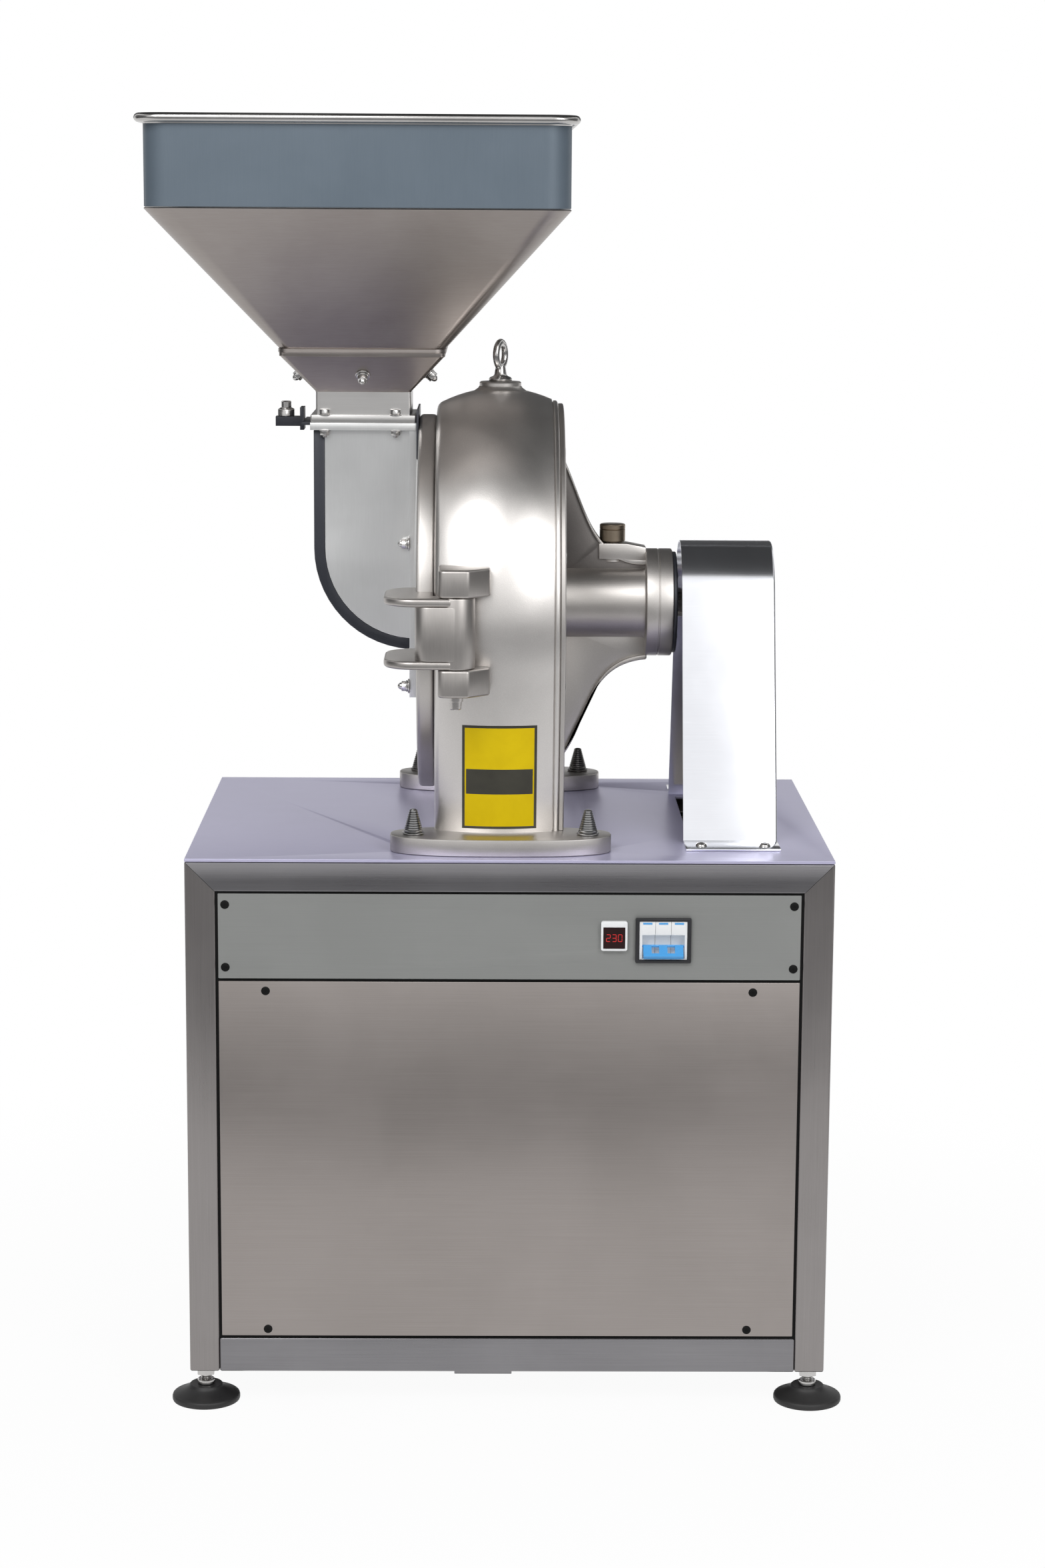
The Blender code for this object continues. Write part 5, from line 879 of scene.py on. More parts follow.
def makeHousing():
    wallLeft = casing["right"] + casing["gap"]
    wallRight = wallLeft + casing["wall"]
    radius = casing["edgeRadius"] + 0.0015
    wall = archShell([(wallLeft, radius - 0.0010), (wallLeft + 0.0008, radius),
                      (wallRight - 0.0014, radius),
                      (wallRight - 0.0004, radius - 0.0006), (wallRight, radius - 0.0016)], 96)
    wall = trimBelow(wall, casing["footThickness"] + casing["gap"])
    cutOut(wall, roundBar("X", (0, shaftHeight), wallLeft - past, wallRight + past, 0.0364, 64))
    bore, tube, ring, right = housing["bore"], housing["barrel"], housing["ring"], housing["right"]
    start = wallRight - 0.003
    barrel = spun("X", (0, shaftHeight), [
        (start, bore), (start, 0.0445), (wallRight + 0.0008, 0.0440), (wallRight + 0.0026, tube),
        (0.1560, tube),
        (0.1590, 0.0432), (0.1600, 0.0450), (0.1600, 0.0622), (0.1604, 0.0631), (0.1616, ring),
        (0.1740, ring),
        (0.1746, 0.0629), (0.1756, 0.0629), (0.1762, ring), (0.1893, ring), (0.1908, 0.0630),
        (right, 0.0618), (right, bore), (start, bore)], 96)
    # the upper and the lower web, with a lip along the edge of each
    webEnd, webHalf, lipHalf = housing["webEnd"], housing["webHalf"], housing["lipHalf"]
    webs, lips = [], []
    for knots, sign in ((((wallRight + 0.002, 0.4280), (0.0900, 0.3720), (0.0960, 0.3080),
                          (webEnd, 0.3118)), -1),
                        (((wallRight + 0.002, 0.0760), (0.0960, 0.1180), (0.0900, 0.1870),
                          (webEnd, 0.1930)), 1)):
        curve = curveLine(*knots, 28)
        back = [(webEnd, shaftHeight - sign * 0.03), (wallRight - 0.002, shaftHeight - sign * 0.03)]
        inner = [(x, z + sign * housing["lip"]) for x, z in curve]
        webs.append(softEdges(slab("Y", curve + back, -webHalf, webHalf), 0.0010, 2))
        lips.append(softEdges(slab("Y", curve + inner[::-1], -lipHalf, lipHalf), 0.0018, 3))
    # the upper rib makes room for the lubricator over its boss
    cup = lubricator
    for rib in (webs[0], lips[0]):
        cutOut(rib, roundBar("Z", (cup["x"], 0), cup["seat"], 0.44, cup["pocket"], 64))
    seat, low, hole, outer = cup["seat"], cup["bossLow"], cup["bore"], cup["bossRadius"]
    boss = spun("Z", (cup["x"], 0), [
        (low, hole), (low, outer), (seat - 0.0008, outer), (seat, 0.0117), (seat, hole), (low, hole)], 48)
    pad = slab("Y", [(0.1045, 0.3120), (0.1045, 0.3308), (0.1375, 0.3306), (0.1605, 0.3262),
                     (0.1605, 0.3105)],
               -housing["padHalf"], housing["padHalf"])
    cutOut(pad, roundBar("Z", (cup["x"], 0), 0.2950, 0.3400, hole, 32))
    pad = softEdges(pad, 0.0015, 2)
    finished(joined("housing", wall, barrel, *lips, pad, boss, webs[1]), "housing_cast", "stand",
             "castSatin", ["bearing_housing"], angle=28)
    # the upper web takes the darker cast finish: painted shade where the rib lies in shadow
    finished(webs[0], "housing_web", "stand", "castPaintedShade", ["bearing_housing"], angle=28)
    for name, kind, face, circle, angles, finish in (
        ("wall_screws", wallScrew, wallRight, housing["screwCircle"], (-20, 20, 60, 120, 160, 200),
         "plated"),
        ("cap_screws", panelScrew, housing["capFace"], housing["capCircle"], (45, 135, 225, 315),
         "darkBoltSteel"),
    ):
        places = [((face, circle * math.cos(a), shaftHeight + circle * math.sin(a)), "right")
                  for a in map(math.radians, angles)]
        fastened(name, kind, places, "stand", finish)
    refined("bearing_cap", 0.0006, "darkTrim")


def makeGreaseCup():
    low, top, r = lubricator["seat"] + 0.0003, lubricator["top"], lubricator["radius"]
    stemLow, stem = lubricator["seat"] - lubricator["stemLength"], lubricator["stem"]
    body = spun("Z", (lubricator["x"], 0), [
        (stemLow, 0.0), (stemLow, stem), (low, stem), (low, r - 0.0030),
        (low + 0.0003, r - 0.0012), (low + 0.0013, r), (top - 0.0070, r), (top - 0.0064, r - 0.0007),
        (top - 0.0058, r),
        (top - 0.0016, r), (top - 0.0004, r - 0.0008), (top, r - 0.0022), (top, 0.0)], 72)
    finished(body, "grease_cup_turned", "lubricator", "bronzed", ["grease_cup"])


makeHousing()
makeGreaseCup()
print("bearing housing done")


# door with its hinge, and the hand screw

door = {"left": -0.1068, "right": -0.0865, "radius": 0.220, "inletHalf": 0.045, "inlet": (0.2235, 0.3150),
        "front": -0.2870, "rear": -0.2545, "arm": (0.2265, 0.2867), "armRound": 0.016, "armEnd": -0.2000,
        "earLows": (0.2171, 0.2866), "earHeight": 0.0095, "earReach": 0.035, "earRound": 0.034,
        "barrel": 0.0215, "bore": 0.0088, "clampInner": 0.180, "clampOuter": 0.251, "clampHalf": 0.024,
        "clampScrew": 0.252, "clampBore": 0.0064}


def makeDoor():
    d, hingeX, hingeY = door, hinge["x"], hinge["y"]
    left, right, radius, front, rear = d["left"], d["right"], d["radius"], d["front"], d["rear"]
    disc = spun("X", (0, shaftHeight), [
        (left, 0.0), (left, 0.1860), (left + 0.0012, 0.1875), (left + 0.0012, 0.1905), (left, 0.1920),
        (left, radius - 0.0050), (left + 0.0004, radius - 0.0032), (left + 0.0016, radius - 0.0012),
        (left + 0.0036, radius - 0.0002),
        (left + 0.0050, radius), (right - 0.0050, radius), (right - 0.0024, radius - 0.0004),
        (right - 0.0008, radius - 0.0014),
        (right, radius - 0.0030), (right, radius - 0.0050), (right, 0.0)], 128)
    inletHalf, (inletLow, inletTop) = d["inletHalf"], d["inlet"]
    cutOut(disc, block((left - past, -inletHalf, inletLow), (right + past, inletHalf, inletTop)))
    armRound, armEnd = d["armRound"], d["armEnd"]
    armPlan = ([(hingeX, front)] + arcLine((left + armRound, front + armRound), armRound, 270, 180, 16)
               + [(left, armEnd), (right - 0.0005, armEnd), (right - 0.0005, rear), (hingeX, rear)])
    arm = softEdges(slab("Z", armPlan, *d["arm"]), 0.0012, 2)
    tip, turn = left - d["earReach"], d["earRound"]
    earPlan = ([(hingeX - 0.004, front + 0.0002)] + arcLine((tip + turn, front + 0.0342), turn, 270, 180,
                                                            20)
               + arcLine((tip + turn, -0.2060), turn, 180, 90, 20)
               + [(right - 0.0007, -0.1720), (right - 0.0007, rear - 0.0002),
                  (hingeX - 0.004, rear - 0.0002)])
    ears = [softEdges(slab("Z", earPlan, low, low + d["earHeight"]), 0.0034, 4) for low in d["earLows"]]
    bore, outer = d["bore"], d["barrel"]
    barrel = spun("Z", (hingeX, hingeY), [
        (0.2170, bore), (0.2170, 0.0200), (0.2176, 0.0211), (0.2186, outer), (0.2946, outer),
        (0.2956, 0.0211), (0.2962, 0.0200), (0.2962, bore), (0.2170, bore)], 64)
    half = d["clampHalf"]
    clampPlan = ([(d["clampInner"], shaftHeight - half)] + arcLine((d["clampOuter"], shaftHeight), half,
                                                                   270, 450, 28)
                 + [(d["clampInner"], shaftHeight + half)])
    clampEar = softEdges(slab("X", clampPlan, left + 0.0005, right - 0.0005), 0.0020, 3)
    cutOut(clampEar, roundBar("X", (d["clampScrew"], shaftHeight), left - past, right + past,
                              d["clampBore"], 32))
    finished(joined("door", disc, clampEar), "door_cast", "door_group", "castSatin", ["door"],
             angle=26)
    finished(joined("ears", *ears, arm, barrel), "door_ears", "door_group", "lugSteel",
             ["door"], angle=26)


makeDoor()
refined("clamp_screw", 0.0012, "blackPlastic", segments=3)


# feed chute, gate and its bolts

refined("feed_chute", 0.0006, "chuteSheet")
refined("chute_band", 0.0010, "darkTrim")
refined("gate_slide", 0.0005, "darkTrim")


chuteBolts = {"x": (-0.2157, -0.1337), "y": (-0.0575, 0.0575), "above": 0.4735 + 0.0088, "below": 0.4650,
              "plateFace": -0.1176, "nuts": ((-0.0565, 0.3334), (0.0565, 0.3334), (-0.0565, 0.1660))}


def makeChuteFasteners():
    c = chuteBolts
    for name, kind, height, way in (("flange_bolts", flangeBolt, c["above"], "up"),
                                    ("flange_nuts", flangeNut, c["below"], "down")):
        places = [((x, y, height), way) for y in c["y"] for x in c["x"]]
        fastened(name, kind, places, "door_group", "plated")
    nuts = [((c["plateFace"], y, z), "left") for y, z in c["nuts"]]
    fastened("chute_nuts", acornNut, nuts, "door_group", "plated")
    # a dark plate under the chute flange beside the door top: painted shade in the gap there
    shadeStrip = softEdges(block((-0.1094, -0.0645, 0.4320), (-0.1071, 0.0645, 0.4887)), 0.0006, 2)
    finished(shadeStrip, "chute_shade_strip", "door_group", "darkTrim")


gateBolt = {"x": -0.2634, "low": 0.4702, "shank": 0.0040, "flats": 0.0190, "head": 0.0078,
            "headLow": 0.0073}


def makeGateBolt():
    g = gateBolt
    bolt = joined(
        "gate bolt",
        spun("Z", (0, 0), [(-0.0035, 0.0), (-0.0035, 0.0032), (-0.0027, g["shank"]),
                           (g["headLow"], g["shank"]), (g["headLow"], 0.0)], 24),
        shifted(hexSolid(g["flats"], g["head"], 0.0014), (0, 0, g["headLow"])),
        spun("Z", (0, 0), [(0.0150, 0.0), (0.0150, 0.0078), (0.0162, 0.0084), (0.0172, 0.0060),
                           (0.0236, 0.0060), (0.0248, 0.0048), (0.0248, 0.0)], 32),
    )
    bolt.location = (g["x"], 0, g["low"])
    finished(applyPlace(bolt), "gate_bolt_turned", "gate_bolt", "plated",
             ["gate_lock_bolt"], angle=32)


makeChuteFasteners()
makeGateBolt()
print("door, chute and gate done")


# hopper

hopper = {"x": -0.1710, "neck": 0.0550, "flange": 0.0610, "neckTop": 0.5095, "funnel": 0.0935,
          "funnelTop": 0.5510,
          "bead": 0.0048, "coneLow": 0.0932, "coneTop": 0.7180, "half": 0.2340, "corner": 0.030,
          "top": 0.8090,
          "sheet": 0.0020, "rim": 0.0051, "overhang": 0.0101, "joint": 0.4738, "flangeHeight": 0.0085,
          "opening": 0.053, "nutHeight": 0.5290}


def squareShell(stations, corner, steps=10):
    # a square tube whose size changes at each height; stations are heights and half sides
    height, half = stations[0]
    plan = roundedLine((hopper["x"] - half, -half), (hopper["x"] + half, half), corner, steps)
    drawLine([(x, y, height) for x, y in plan + plan[:1]])
    bpy.ops.mesh.remove_doubles(threshold=0.00001)
    for (z0, h0), (z1, h1) in zip(stations, stations[1:]):
        pull((0, 0, z1 - z0))
        grow((h1 / h0, h1 / h0, 1), (hopper["x"], 0, z1))
    return tidyShell()


def makeHopper():
    h = hopper
    joint, sheet, opening = h["joint"], h["sheet"], h["opening"]
    flange = slab("Z", roundedLine((h["x"] - h["flange"], -h["flange"]),
                                   (h["x"] + h["flange"], h["flange"]), 0.002, 3),
                  joint, joint + h["flangeHeight"])
    cutOut(flange, block((h["x"] - opening, -opening, joint - past),
                         (h["x"] + opening, opening, joint + 2 * past)))
    flange = softEdges(flange, 0.0007, 2)
    neck = squareShell([(joint + 0.0080, h["neck"]), (h["neckTop"], h["neck"])], 0.003, 4)
    neck = applyModifier(neck, "SOLIDIFY", thickness=sheet, offset=-1)
    finished(joined("neck", flange, neck), "hopper_neck_sheet", "door_group", "neckSheet",
             ["hopper_neck"])
    top = h["funnelTop"] + h["bead"]
    funnel = squareShell([(h["neckTop"] - 0.0008, h["neck"] + 0.0002),
                          (h["neckTop"] + 0.0006, h["neck"] + 0.0008),
                          (h["funnelTop"] - 0.0004, h["funnel"]), (h["funnelTop"], h["funnel"] + 0.0011),
                          (h["funnelTop"] + 0.0008, h["funnel"] + 0.0014),
                          (top - 0.0006, h["funnel"] + 0.0014), (top, h["funnel"] + 0.0008)], 0.004, 8)
    funnel = applyModifier(funnel, "SOLIDIFY", thickness=sheet, offset=-1)
    finished(funnel, "hopper_funnel", "door_group", "hopperSheet", ["hopper_neck"])
    low = top + 0.0003
    cone = squareShell([(low, h["coneLow"] + 0.0008), (low + 0.0006, h["coneLow"] + 0.0012),
                        (low + 0.0024, h["coneLow"] + 0.0012),
                        (low + 0.0030, h["coneLow"] + 0.0002), (low + 0.0050, h["coneLow"] + 0.0004),
                        (h["coneTop"] - 0.0016, h["half"] - 0.0014), (h["coneTop"], h["half"] - 0.0002)],
                       0.012, 12)
    cone = applyModifier(cone, "SOLIDIFY", thickness=sheet, offset=-1)
    finished(cone, "hopper_cone_sheet", "door_group", "hopperSheet", ["hopper_cone"])
    base, wall = h["coneTop"] + 0.0003, h["half"] + 0.0008
    band = squareShell([(base, wall - 0.0008), (base + 0.0007, wall), (h["top"] + 0.0004, wall)],
                       h["corner"], 12)
    band = applyModifier(band, "SOLIDIFY", thickness=sheet, offset=-1)
    finished(band, "hopper_band_sheet", "door_group", "bandPaint", ["hopper_band"])
    middle = h["half"] + h["overhang"] - h["rim"]
    turns = [math.radians(-128 + 256 * i / 20) for i in range(21)]
    roll = [(h["top"] + h["rim"] * (1 + math.sin(t)), middle + h["rim"] * math.cos(t)) for t in turns]
    inside = h["half"] - sheet
    stations = [(h["top"] - 0.0012, wall + 0.0002)] + roll + [(h["top"] + h["rim"], inside),
                                                              (h["top"] - 0.0012, inside)]
    rim = squareShell(stations + stations[:1], h["corner"], 12)
    finished(rim, "hopper_rim", "door_group", "polishedRim", ["hopper_band"], angle=32)
    slope = math.atan2(h["funnelTop"] - h["neckTop"], h["funnel"] - h["neck"])
    heads = []
    for turn in range(4):
        head = copied(acornNut, (0, 0, 0), (math.pi / 2 + (math.pi / 2 - slope), 0, 0))
        half = h["neck"] + (h["nutHeight"] - h["neckTop"]) / math.tan(slope)
        head.location = (0, -half - 0.0006, h["nutHeight"])
        applyPlace(head)
        head.rotation_euler = (0, 0, turn * math.pi / 2)
        applyPlace(head)
        head.location = (h["x"], 0, 0)
        heads.append(applyPlace(head))
    finished(joined("heads", *heads), "funnel_nuts", "door_group", "plated", angle=32)


makeHopper()
print("hopper done")


# belt guard and drive

guard = {"left": 0.2005, "right": 0.3090, "radius": 0.0735, "baseHalf": 0.159, "sheet": 0.002,
         "foot": 0.050, "footTop": 0.0028, "screwX": (0.2190, 0.2916), "screwY": 0.1925}


def makeGuard():
    outline = archLine(guard["radius"], guard["baseHalf"], shaftHeight, 0.0003, 64)
    drawLine([(guard["right"], y, z) for y, z in outline], closed=True)
    pull((guard["left"] - guard["right"], 0, 0))
    shell = tidyShell()
    editAll(shell)
    bpy.ops.mesh.select_all(action="DESELECT")
    leaveEdit()
    for face in shell.data.polygons:
        face.select = face.normal.x < -0.9 or face.normal.z < -0.9
    bpy.ops.object.mode_set(mode="EDIT")
    bpy.ops.mesh.delete(type="FACE")
    leaveEdit()
    shell = softEdges(shell, 0.0030, 4, 60)
    shell = applyModifier(shell, "SOLIDIFY", thickness=guard["sheet"], offset=-1)
    feet = []
    for side in (-1, 1):
        y = sorted((side * (guard["baseHalf"] - 0.0015), side * (guard["baseHalf"] + guard["foot"])))
        feet.append(softEdges(block((guard["left"], y[0], 0.0003),
                                    (guard["right"], y[1], guard["footTop"])), 0.0008, 2))
    finished(joined("guard", shell, *feet), "guard_sheet", "stand", "polishedSheet",
             ["belt_guard"])
    places = [((x, side * guard["screwY"], guard["footTop"]), "up") for x in guard["screwX"]
              for side in (-1, 1)]
    fastened("guard_screws", guardScrew, places, "stand", "plated")


makeGuard()
for node, bevel, finish in (
    ("driven_pulley", 0.0004, "turnedIron"), ("motor_pulley", 0.0004, "turnedIron"),
    ("belt_inner", 0.0, "blackRubber"),
    ("belt_outer", 0.0, "blackRubber"), ("motor_body", 0.0, "motorPaint"),
    ("motor_fan_cover", 0.0, "motorPaint"),
    ("motor_terminal_box", 0.001, "motorPaint"), ("motor_plate", 0.0005, "motorPaint"),
    ("motor_shaft", 0.0003, "machinedSteel"),
    ("rotor_shaft", 0.0004, "machinedSteel"), ("bearing_rotor_side", 0.0, "machinedSteel"),
    ("bearing_pulley_side", 0.0, "machinedSteel"), ("rotor_hub", 0.0005, "wornSteel"),
    ("wear_liner", 0.0003, "wornSteel"),
    ("screen_ring", 0.0, "wornSteel"), ("hammer_row_1", 0.0004, "wornSteel"),
    ("hammer_row_2", 0.0004, "wornSteel"),
    ("hammer_row_3", 0.0004, "wornSteel"), ("hammer_row_4", 0.0004, "wornSteel"),
    ("discharge_chute", 0.0004, "chuteSheet"),
):
    refined(node, bevel, finish)
print("drive and rotor done")


# cabinet

cabinet = {"halfWidth": 0.365, "halfDepth": 0.266, "low": -0.601, "top": -0.0033, "post": 0.034,
           "footRail": 0.040, "setback": 0.0005}


def mitred(bar, point, normal):
    # trims the end of a bar along its joint
    editAll(bar)
    bpy.ops.mesh.bisect(plane_co=point, plane_no=normal, use_fill=True, clear_outer=True)
    return tidyShell()


def makeFrame():
    c = cabinet
    w, d, p, seam = c["halfWidth"], c["halfDepth"], c["post"], 0.00025
    posts, rails = [], []
    for sx in (-1, 1):
        for sy in (-1, 1):
            x, y = sorted((sx * w, sx * (w - p))), sorted((sy * d, sy * (d - p)))
            post = softEdges(block((x[0], y[0], c["low"]), (x[1], y[1], c["top"])), 0.0022, 3)
            # the top corner meets the rails on a mitre
            post = mitred(post, (sx * w, 0, c["top"] - seam), (-sx, 0, 1))
            post = mitred(post, (0, sy * d, c["top"] - seam), (0, -sy, 1))
            posts.append(post)
    for sy in (-1, 1):
        y = sorted((sy * d, sy * (d - p)))
        rail = softEdges(block((-w, y[0], c["top"] - p), (w, y[1], c["top"])), 0.0022, 3)
        for sx in (-1, 1):
            rail = mitred(rail, (sx * w, 0, c["top"] + seam), (sx, 0, -1))
            rail = mitred(rail, (sx * (w + seam), sy * d, 0), (sx, -sy, 0))
        rails.append(rail)
        foot = block((-w + p + seam, y[0] + 0.0001, c["low"]),
                     (w - p - seam, y[1] - 0.0001, c["low"] + c["footRail"]))
        rails.append(softEdges(foot, 0.0022, 3))
    frontTop = joined("rails", *rails)
    sides = []
    for sx in (-1, 1):
        x = sorted((sx * w, sx * (w - p)))
        rail = softEdges(block((x[0], -d, c["top"] - p), (x[1], d, c["top"])), 0.0022, 3)
        for sy in (-1, 1):
            rail = mitred(rail, (0, sy * d, c["top"] + seam), (0, sy, -1))
            rail = mitred(rail, (sx * w, sy * (d + seam), 0), (-sx, sy, 0))
        sides.append(rail)
        foot = block((x[0] + 0.0001, -d + p + seam, c["low"]),
                     (x[1] - 0.0001, d - p - seam, c["low"] + c["footRail"]))
        sides.append(softEdges(foot, 0.0022, 3))
    tab = softEdges(block((-0.061, -0.262, -0.605), (0.005, -0.240, -0.6008)), 0.0006, 1)
    finished(joined("posts", *posts), "cabinet_posts", "stand", "tubeSteel",
             ["cabinet_frame"])
    finished(joined("rails", frontTop, tab), "cabinet_rails", "stand", "railSteel",
             ["cabinet_frame"])
    finished(joined("side rails", *sides), "cabinet_side_rails", "stand", "railSteel",
             ["cabinet_frame"])


panelScrews = {"control": ((-0.320, 0.320), (-0.052, -0.124)),
               "front": ((-0.275, 0.275), (-0.1513, -0.550)),
               "rear": ((-0.320, 0.320), (-0.080, -0.520)), "side": ((-0.220, 0.220), (-0.080, -0.520))}


def makePanels():
    # black sheets behind the joints round the panels: painted shade in the gaps
    w, d = cabinet["halfWidth"] - cabinet["post"], cabinet["halfDepth"] - cabinet["post"]
    frontDepth, sideDepth, thick, wide, low, high = 0.2632, 0.3622, 0.003, 0.012, -0.5640, -0.0330
    gapShade = [block((-w, -frontDepth, -0.1615), (w, thick - frontDepth, -0.1315))]
    for sy in (-1, 1):
        y = sorted((sy * frontDepth, sy * (frontDepth - thick)))
        gapShade += [block((-w, y[0], z), (w, y[1], z + 0.014)) for z in (low, high - 0.014)]
        gapShade += [block((x, y[0] + 0.0002, low), (x + wide, y[1] - 0.0002, high)) for x in (-w, w - wide)]
        x = sorted((sy * sideDepth, sy * (sideDepth - thick)))
        gapShade += [block((x[0], -d, z), (x[1], d, z + 0.014)) for z in (low, high - 0.014)]
        gapShade += [block((x[0] + 0.0002, y, low), (x[1] - 0.0002, y + wide, high)) for y in (-d, d - wide)]
    finished(joined("gapShade", *gapShade), "cabinet_gap_shade", "stand", "screwBlack",
             ["cabinet_frame"])
    for node, finish in (("control_panel", "controlSheet"), ("front_panel", "frontSheet"),
                         ("rear_panel", "frontSheet"),
                         ("left_panel", "frontSheet"), ("right_panel", "frontSheet"),
                         ("table_top", "tableSheet")):
        refined(node, 0.0010, finish)
    face = -(cabinet["halfDepth"] - cabinet["setback"])
    front = [((x, face, z), "front") for panel in ("control", "front")
             for x in panelScrews[panel][0] for z in panelScrews[panel][1]]
    fastened("front_screws", panelScrew, front, "stand", "screwBlack")
    rear = [((x, -face, z), "rear") for x in panelScrews["rear"][0] for z in panelScrews["rear"][1]]
    side = cabinet["halfWidth"] - cabinet["setback"]
    flanks = [((way * side, y, z), "left" if way < 0 else "right") for way in (-1, 1)
              for y in panelScrews["side"][0] for z in panelScrews["side"][1]]
    fastened("other_screws", panelScrew, rear + flanks, "stand", "screwBlack")


makeFrame()
makePanels()


levellers = {"x": 0.348, "y": 0.249, "drop": 0.039, "padHeight": 0.019, "seat": 0.0062}


def makeFeet():
    floor = cabinet["low"] - levellers["drop"]
    top = floor + levellers["padHeight"]
    seat = levellers["seat"]
    for name, (sx, sy) in corners.items():
        x, y = sx * levellers["x"], sy * levellers["y"]
        flare = [(floor + 0.0075 + 0.0105 * t, 0.0192 + 0.0185 * (1 - t) ** 1.6)
                 for t in [i / 10 for i in range(11)]]
        pad = spun("Z", (x, y), [(floor, 0.0), (floor, 0.0370), (floor + 0.0006, 0.0384),
                                 (floor + 0.0020, 0.0390),
                                 (floor + 0.0050, 0.0390), (floor + 0.0068, 0.0384)] + flare
                   + [(top, 0.0182), (top, seat), (top - 0.0098, seat), (top - 0.0098, 0.0)], 72)
        finished(pad, "pad_" + name, "foot_" + name, "blackRubber", ["foot_pad_" + name],
                 angle=40)
        hexHeight = cabinet["low"] - 0.0003 - 0.0080
        stem = joined(
            "stem",
            spun("Z", (x, y), [(top + 0.0003, 0.0), (top + 0.0003, 0.0092), (top + 0.0010, 0.0100),
                               (top + 0.0052, 0.0100), (top + 0.0062, 0.0088), (top + 0.0062, 0.0)], 48),
            shifted(threadedEnd(0.0060, 0.0, 0.0620, 0.00175, 24), (x, y, top - 0.0094)),
            shifted(hexSolid(0.0190, 0.0076, 0.0012), (x, y, hexHeight)),
        )
        finished(stem, "stem_" + name, "foot_" + name, "plated", ["foot_stem_" + name],
                 angle=32)


makeFeet()
print("cabinet and feet done")


# meter and breaker

def makeMeter():
    meter = {"x": 0.1175, "z": -0.0856, "width": 0.0296, "height": 0.0337, "stand": 0.005, "face": -0.2658}
    front = meter["face"] - meter["stand"]
    w, h = meter["width"] / 2, meter["height"] / 2
    bezel = slab("Y", roundedLine((meter["x"] - w, meter["z"] - h), (meter["x"] + w, meter["z"] + h),
                                  0.0025), front,
                 meter["face"])
    wx, wz, rise = 0.0124, 0.0124, -0.0022
    opening = block((meter["x"] - wx, front - 0.01, meter["z"] - wz + rise),
                    (meter["x"] + wx, front + 0.003, meter["z"] + wz + rise))
    bezel = softEdges(cutOut(bezel, opening), 0.0008, 2)
    body = block((meter["x"] - 0.0112, meter["face"] - 0.001, meter["z"] - 0.0132),
                 (meter["x"] + 0.0112, meter["face"] + 0.030, meter["z"] + 0.0132))
    finished(joined("meter", bezel, softEdges(body, 0.0006, 1)), "meter_case", "stand",
             "whitePlastic", ["meter_bezel"])
    refined("meter_window", 0.0002, "lensRed", segments=1)
    # plain figures on the display
    strokes = {"2": "abged", "3": "abgcd", "0": "abcdef"}
    across, tall, thick = 0.0042, 0.0080, 0.0006
    spots = {"a": (0, 1, 0), "g": (0, 0, 0), "d": (0, -1, 0), "f": (-1, 0.5, 1), "b": (1, 0.5, 1),
             "e": (-1, -0.5, 1), "c": (1, -0.5, 1)}
    bars = []
    for i, figure in enumerate("230"):
        cx, cz = meter["x"] + (i - 1) * 0.0066, meter["z"] + rise
        for stroke in strokes[figure]:
            sx, sz, upright = spots[stroke]
            x, z = cx + sx * across / 2, cz + sz * tall / 2
            half = (thick / 2, tall / 4 - thick * 0.4) if upright else (across / 2 - thick * 0.5, thick / 2)
            bars.append(block((x - half[0], front + 0.00010, z - half[1]),
                              (x + half[0], front + 0.00050, z + half[1])))
    finished(joined("figures", *bars), "meter_figures", "stand", "figureRed")


def makeBreaker():
    b = {"x": 0.1729, "z": -0.0910, "width": 0.0627, "height": 0.0517, "window": (0.0545, 0.0445),
         "face": -0.2658, "stand": 0.004, "pole": 0.0178}
    w, h = b["width"] / 2, b["height"] / 2
    wx, wz = b["window"][0] / 2, b["window"][1] / 2
    bezel = slab("Y", roundedLine((b["x"] - w, b["z"] - h), (b["x"] + w, b["z"] + h), 0.0015, 4),
                 b["face"] - b["stand"], b["face"])
    cutOut(bezel, block((b["x"] - wx, b["face"] - 0.02, b["z"] - wz),
                        (b["x"] + wx, b["face"] + 0.02, b["z"] + wz)))
    finished(softEdges(bezel, 0.0006, 2), "breaker_frame", "stand", "blackPlastic",
             ["breaker_bezel"])
    front = b["face"] - b["stand"] + 0.0015
    halfX, halfZ = wx - 0.0003, wz - 0.0003
    poles = []
    for i in (-1, 0, 1):
        middle = b["x"] + i * b["pole"]
        half = b["pole"] / 2 - 0.00015
        low, high = middle - half, middle + half
        if i:
            low, high = (b["x"] - halfX, high) if i < 0 else (low, b["x"] + halfX)
        pole = block((low, front, b["z"] - halfZ), (high, b["face"] + 0.060, b["z"] + halfZ))
        slot = block((max(low, b["x"] - halfX + 0.003) - 0.0002 * i, front - 0.01, b["z"] - 0.0213),
                     (min(high, b["x"] + halfX - 0.003) + 0.0002, front + 0.010, b["z"] + 0.0063))
        poles.append(softEdges(cutOut(pole, slot), 0.0004, 2))
    finished(joined("poles", *poles), "breaker_poles", "stand", "whitePlastic",
             ["breaker_body"])
    marks = [block((b["x"] + i * b["pole"] - 0.0052, front - 0.0003, b["z"] + 0.0185),
                   (b["x"] + i * b["pole"] + 0.0052, front + 0.0010, b["z"] + 0.0205)) for i in (-1, 0, 1)]
    finished(joined("marks", *marks), "breaker_marks", "stand", "bluePlastic",
             ["breaker_body"])
    refined("breaker_toggle", 0.0006, "bluePlastic")


makeMeter()
makeBreaker()
for spare in templates:
    bpy.data.objects.remove(spare)
print("instruments done")

for name, node in nodes.items():
    if not node.hide_render:
        node.data.materials.clear()
        node.data.materials.append(materials["cabinetSheet"])
        print("left as drawn:", name)


# floor, light and camera

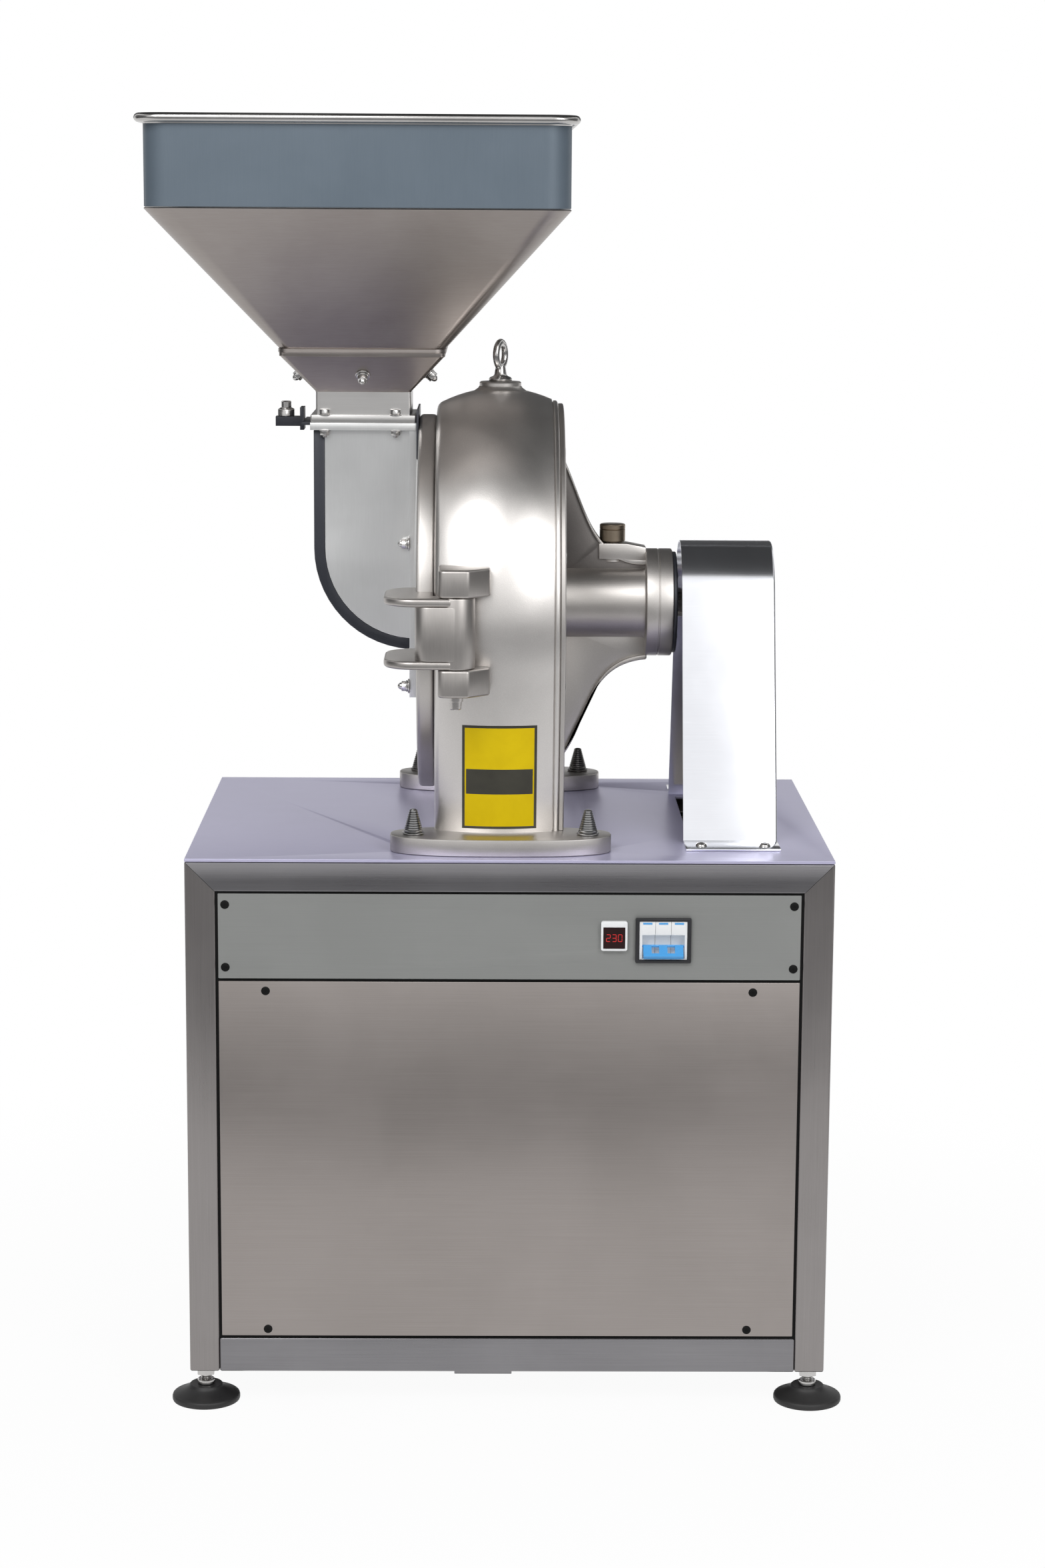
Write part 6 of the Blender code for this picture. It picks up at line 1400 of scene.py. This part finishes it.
def seenDirectly(tree):
    # one for rays from the camera, a mirror or glass, and zero for soft light
    path = addNode(tree, "LightPath")
    seen = path.outputs["Is Camera Ray"]
    for kind in ("Is Glossy Ray", "Is Transmission Ray"):
        either = addNode(tree, "Math", {"operation": "MAXIMUM"})
        tree.links.new(seen, either.inputs[0])
        tree.links.new(path.outputs[kind], either.inputs[1])
        seen = either.outputs[0]
    return seen


def makeStage():
    clearSelection()
    bpy.ops.mesh.primitive_plane_add(size=30)
    floor = bpy.context.object
    floor.name = "studio_floor"
    material = bpy.data.materials.new("paleFloor")
    material.use_nodes = True
    tree = material.node_tree
    shader = tree.nodes["Principled BSDF"]
    shader.inputs["Base Color"].default_value = (0.86, 0.86, 0.86, 1)
    shader.inputs["Roughness"].default_value = 0.9
    shader.inputs["Specular IOR Level"].default_value = 0.0
    white = addNode(tree, "Emission", inputs={"Color": (1, 1, 1, 1), "Strength": 1.0})
    seen = addNode(tree, "Math", {"operation": "MULTIPLY"})
    # the floor turns fully white away from the mill
    place = addNode(tree, "TexCoord")
    away = addNode(tree, "VectorMath", {"operation": "LENGTH"})
    fade = addNode(tree, "MapRange", {"interpolation_type": "SMOOTHSTEP"},
                   {"From Min": 0.5, "From Max": 1.3, "To Min": 0.95, "To Max": 1.0})
    mixed = addNode(tree, "MixShader")
    link = tree.links.new
    link(place.outputs["Object"], away.inputs[0])
    link(away.outputs["Value"], fade.inputs["Value"])
    link(seenDirectly(tree), seen.inputs[0])
    link(fade.outputs["Result"], seen.inputs[1])
    link(seen.outputs[0], mixed.inputs["Fac"])
    link(shader.outputs["BSDF"], mixed.inputs[1])
    link(white.outputs["Emission"], mixed.inputs[2])
    link(mixed.outputs["Shader"], tree.nodes["Material Output"].inputs["Surface"])
    floor.data.materials.append(material)


def makeWorld():
    world = bpy.data.worlds.new("studio")
    bpy.context.scene.world = world
    world.use_nodes = True
    tree = world.node_tree
    soft = tree.nodes["Background"]
    soft.inputs["Color"].default_value = (0.96, 0.97, 1.0, 1)
    soft.inputs["Strength"].default_value = 0.45
    white = addNode(tree, "Background", inputs={"Color": (1, 1, 1, 1), "Strength": 1.0})
    mixed = addNode(tree, "MixShader")
    link = tree.links.new
    link(seenDirectly(tree), mixed.inputs["Fac"])
    link(soft.outputs["Background"], mixed.inputs[1])
    link(white.outputs["Background"], mixed.inputs[2])
    link(mixed.outputs["Shader"], tree.nodes["World Output"].inputs["Surface"])


def addPanelLight(name, place, target, size, power, mirrored=True):
    clearSelection()
    bpy.ops.object.light_add(type="AREA", location=place)
    lamp = bpy.context.object
    lamp.name = name
    lamp.data.shape = "RECTANGLE"
    lamp.data.size, lamp.data.size_y = size
    lamp.data.energy = power
    lamp.rotation_euler = (Vector(target) - Vector(place)).to_track_quat("-Z", "Y").to_euler()
    lamp.visible_glossy = mirrored


def addCard(name, place, target, size, shade):
    # a plain card that metal mirrors, as a studio's ceiling and walls
    clearSelection()
    bpy.ops.mesh.primitive_plane_add(size=1, location=place)
    card = bpy.context.object
    card.name = name
    card.scale = (size[0], size[1], 1)
    card.rotation_euler = (Vector(target) - Vector(place)).to_track_quat("Z", "Y").to_euler()
    applyPlace(card)
    material = bpy.data.materials.new(name)
    material.use_nodes = True
    shader = material.node_tree.nodes["Principled BSDF"]
    shader.inputs["Base Color"].default_value = (shade, shade, shade, 1)
    shader.inputs["Roughness"].default_value = 1.0
    shader.inputs["Specular IOR Level"].default_value = 0.0
    card.data.materials.append(material)
    card.visible_camera = False
    card.visible_shadow = False
    card.visible_diffuse = False


makeStage()
makeWorld()
addPanelLight("key", (-1.1, -2.35, 2.95), (0, 0, 0.9), (1.4, 1.4), 44)
addPanelLight("fill", (1.6, -2.4, 2.4), (0, 0, 0.8), (1.2, 1.6), 28)
addPanelLight("back", (0.4, 2.6, 2.4), (0, 0, 0.7), (1.6, 1.2), 22, False)
addCard("ceiling", (0, 0.4, 3.4), (0, 0.4, 0), (4.2, 4.2), 0.07)
addCard("left_wall", (-3.2, 0.2, 1.6), (0, 0.2, 1.0), (4.0, 3.0), 0.20)
addCard("right_wall", (3.2, 0.2, 1.6), (0, 0.2, 1.0), (4.0, 3.0), 0.20)
addCard("front_floor", (0, -16.3, 0.02), (0, -16.3, 3.0), (30.0, 30.0), 0.42)
addCard("back_wall", (0, 2.7, 2.45), (0, 0, 2.45), (4.4, 2.2), 0.10)


def makeCamera():
    view = {"place": (-0.02920524, -3.8396515, 0.7205496), "yaw": 0.01189924, "pitch": 0.17548337,
            "roll": 0.00630472, "focal": 4882.3874, "tall": 2352, "sensor": 36.0}
    lens = bpy.data.cameras.new("camera")
    lens.sensor_fit = "AUTO"
    lens.sensor_width = view["sensor"]
    lens.lens = view["focal"] / view["tall"] * view["sensor"]
    lens.clip_start, lens.clip_end = 0.05, 60.0
    camera = bpy.data.objects.new("camera", lens)
    bpy.context.scene.collection.objects.link(camera)
    camera.matrix_world = (Matrix.Translation(tableMiddle + Vector(view["place"]))
                           @ Matrix.Rotation(-view["yaw"], 4, "Z")
                           @ Matrix.Rotation(math.pi / 2 - view["pitch"], 4, "X")
                           @ Matrix.Rotation(view["roll"], 4, "Z"))
    bpy.context.scene.camera = camera


makeCamera()
bpy.context.scene.view_settings.view_transform = "Standard"
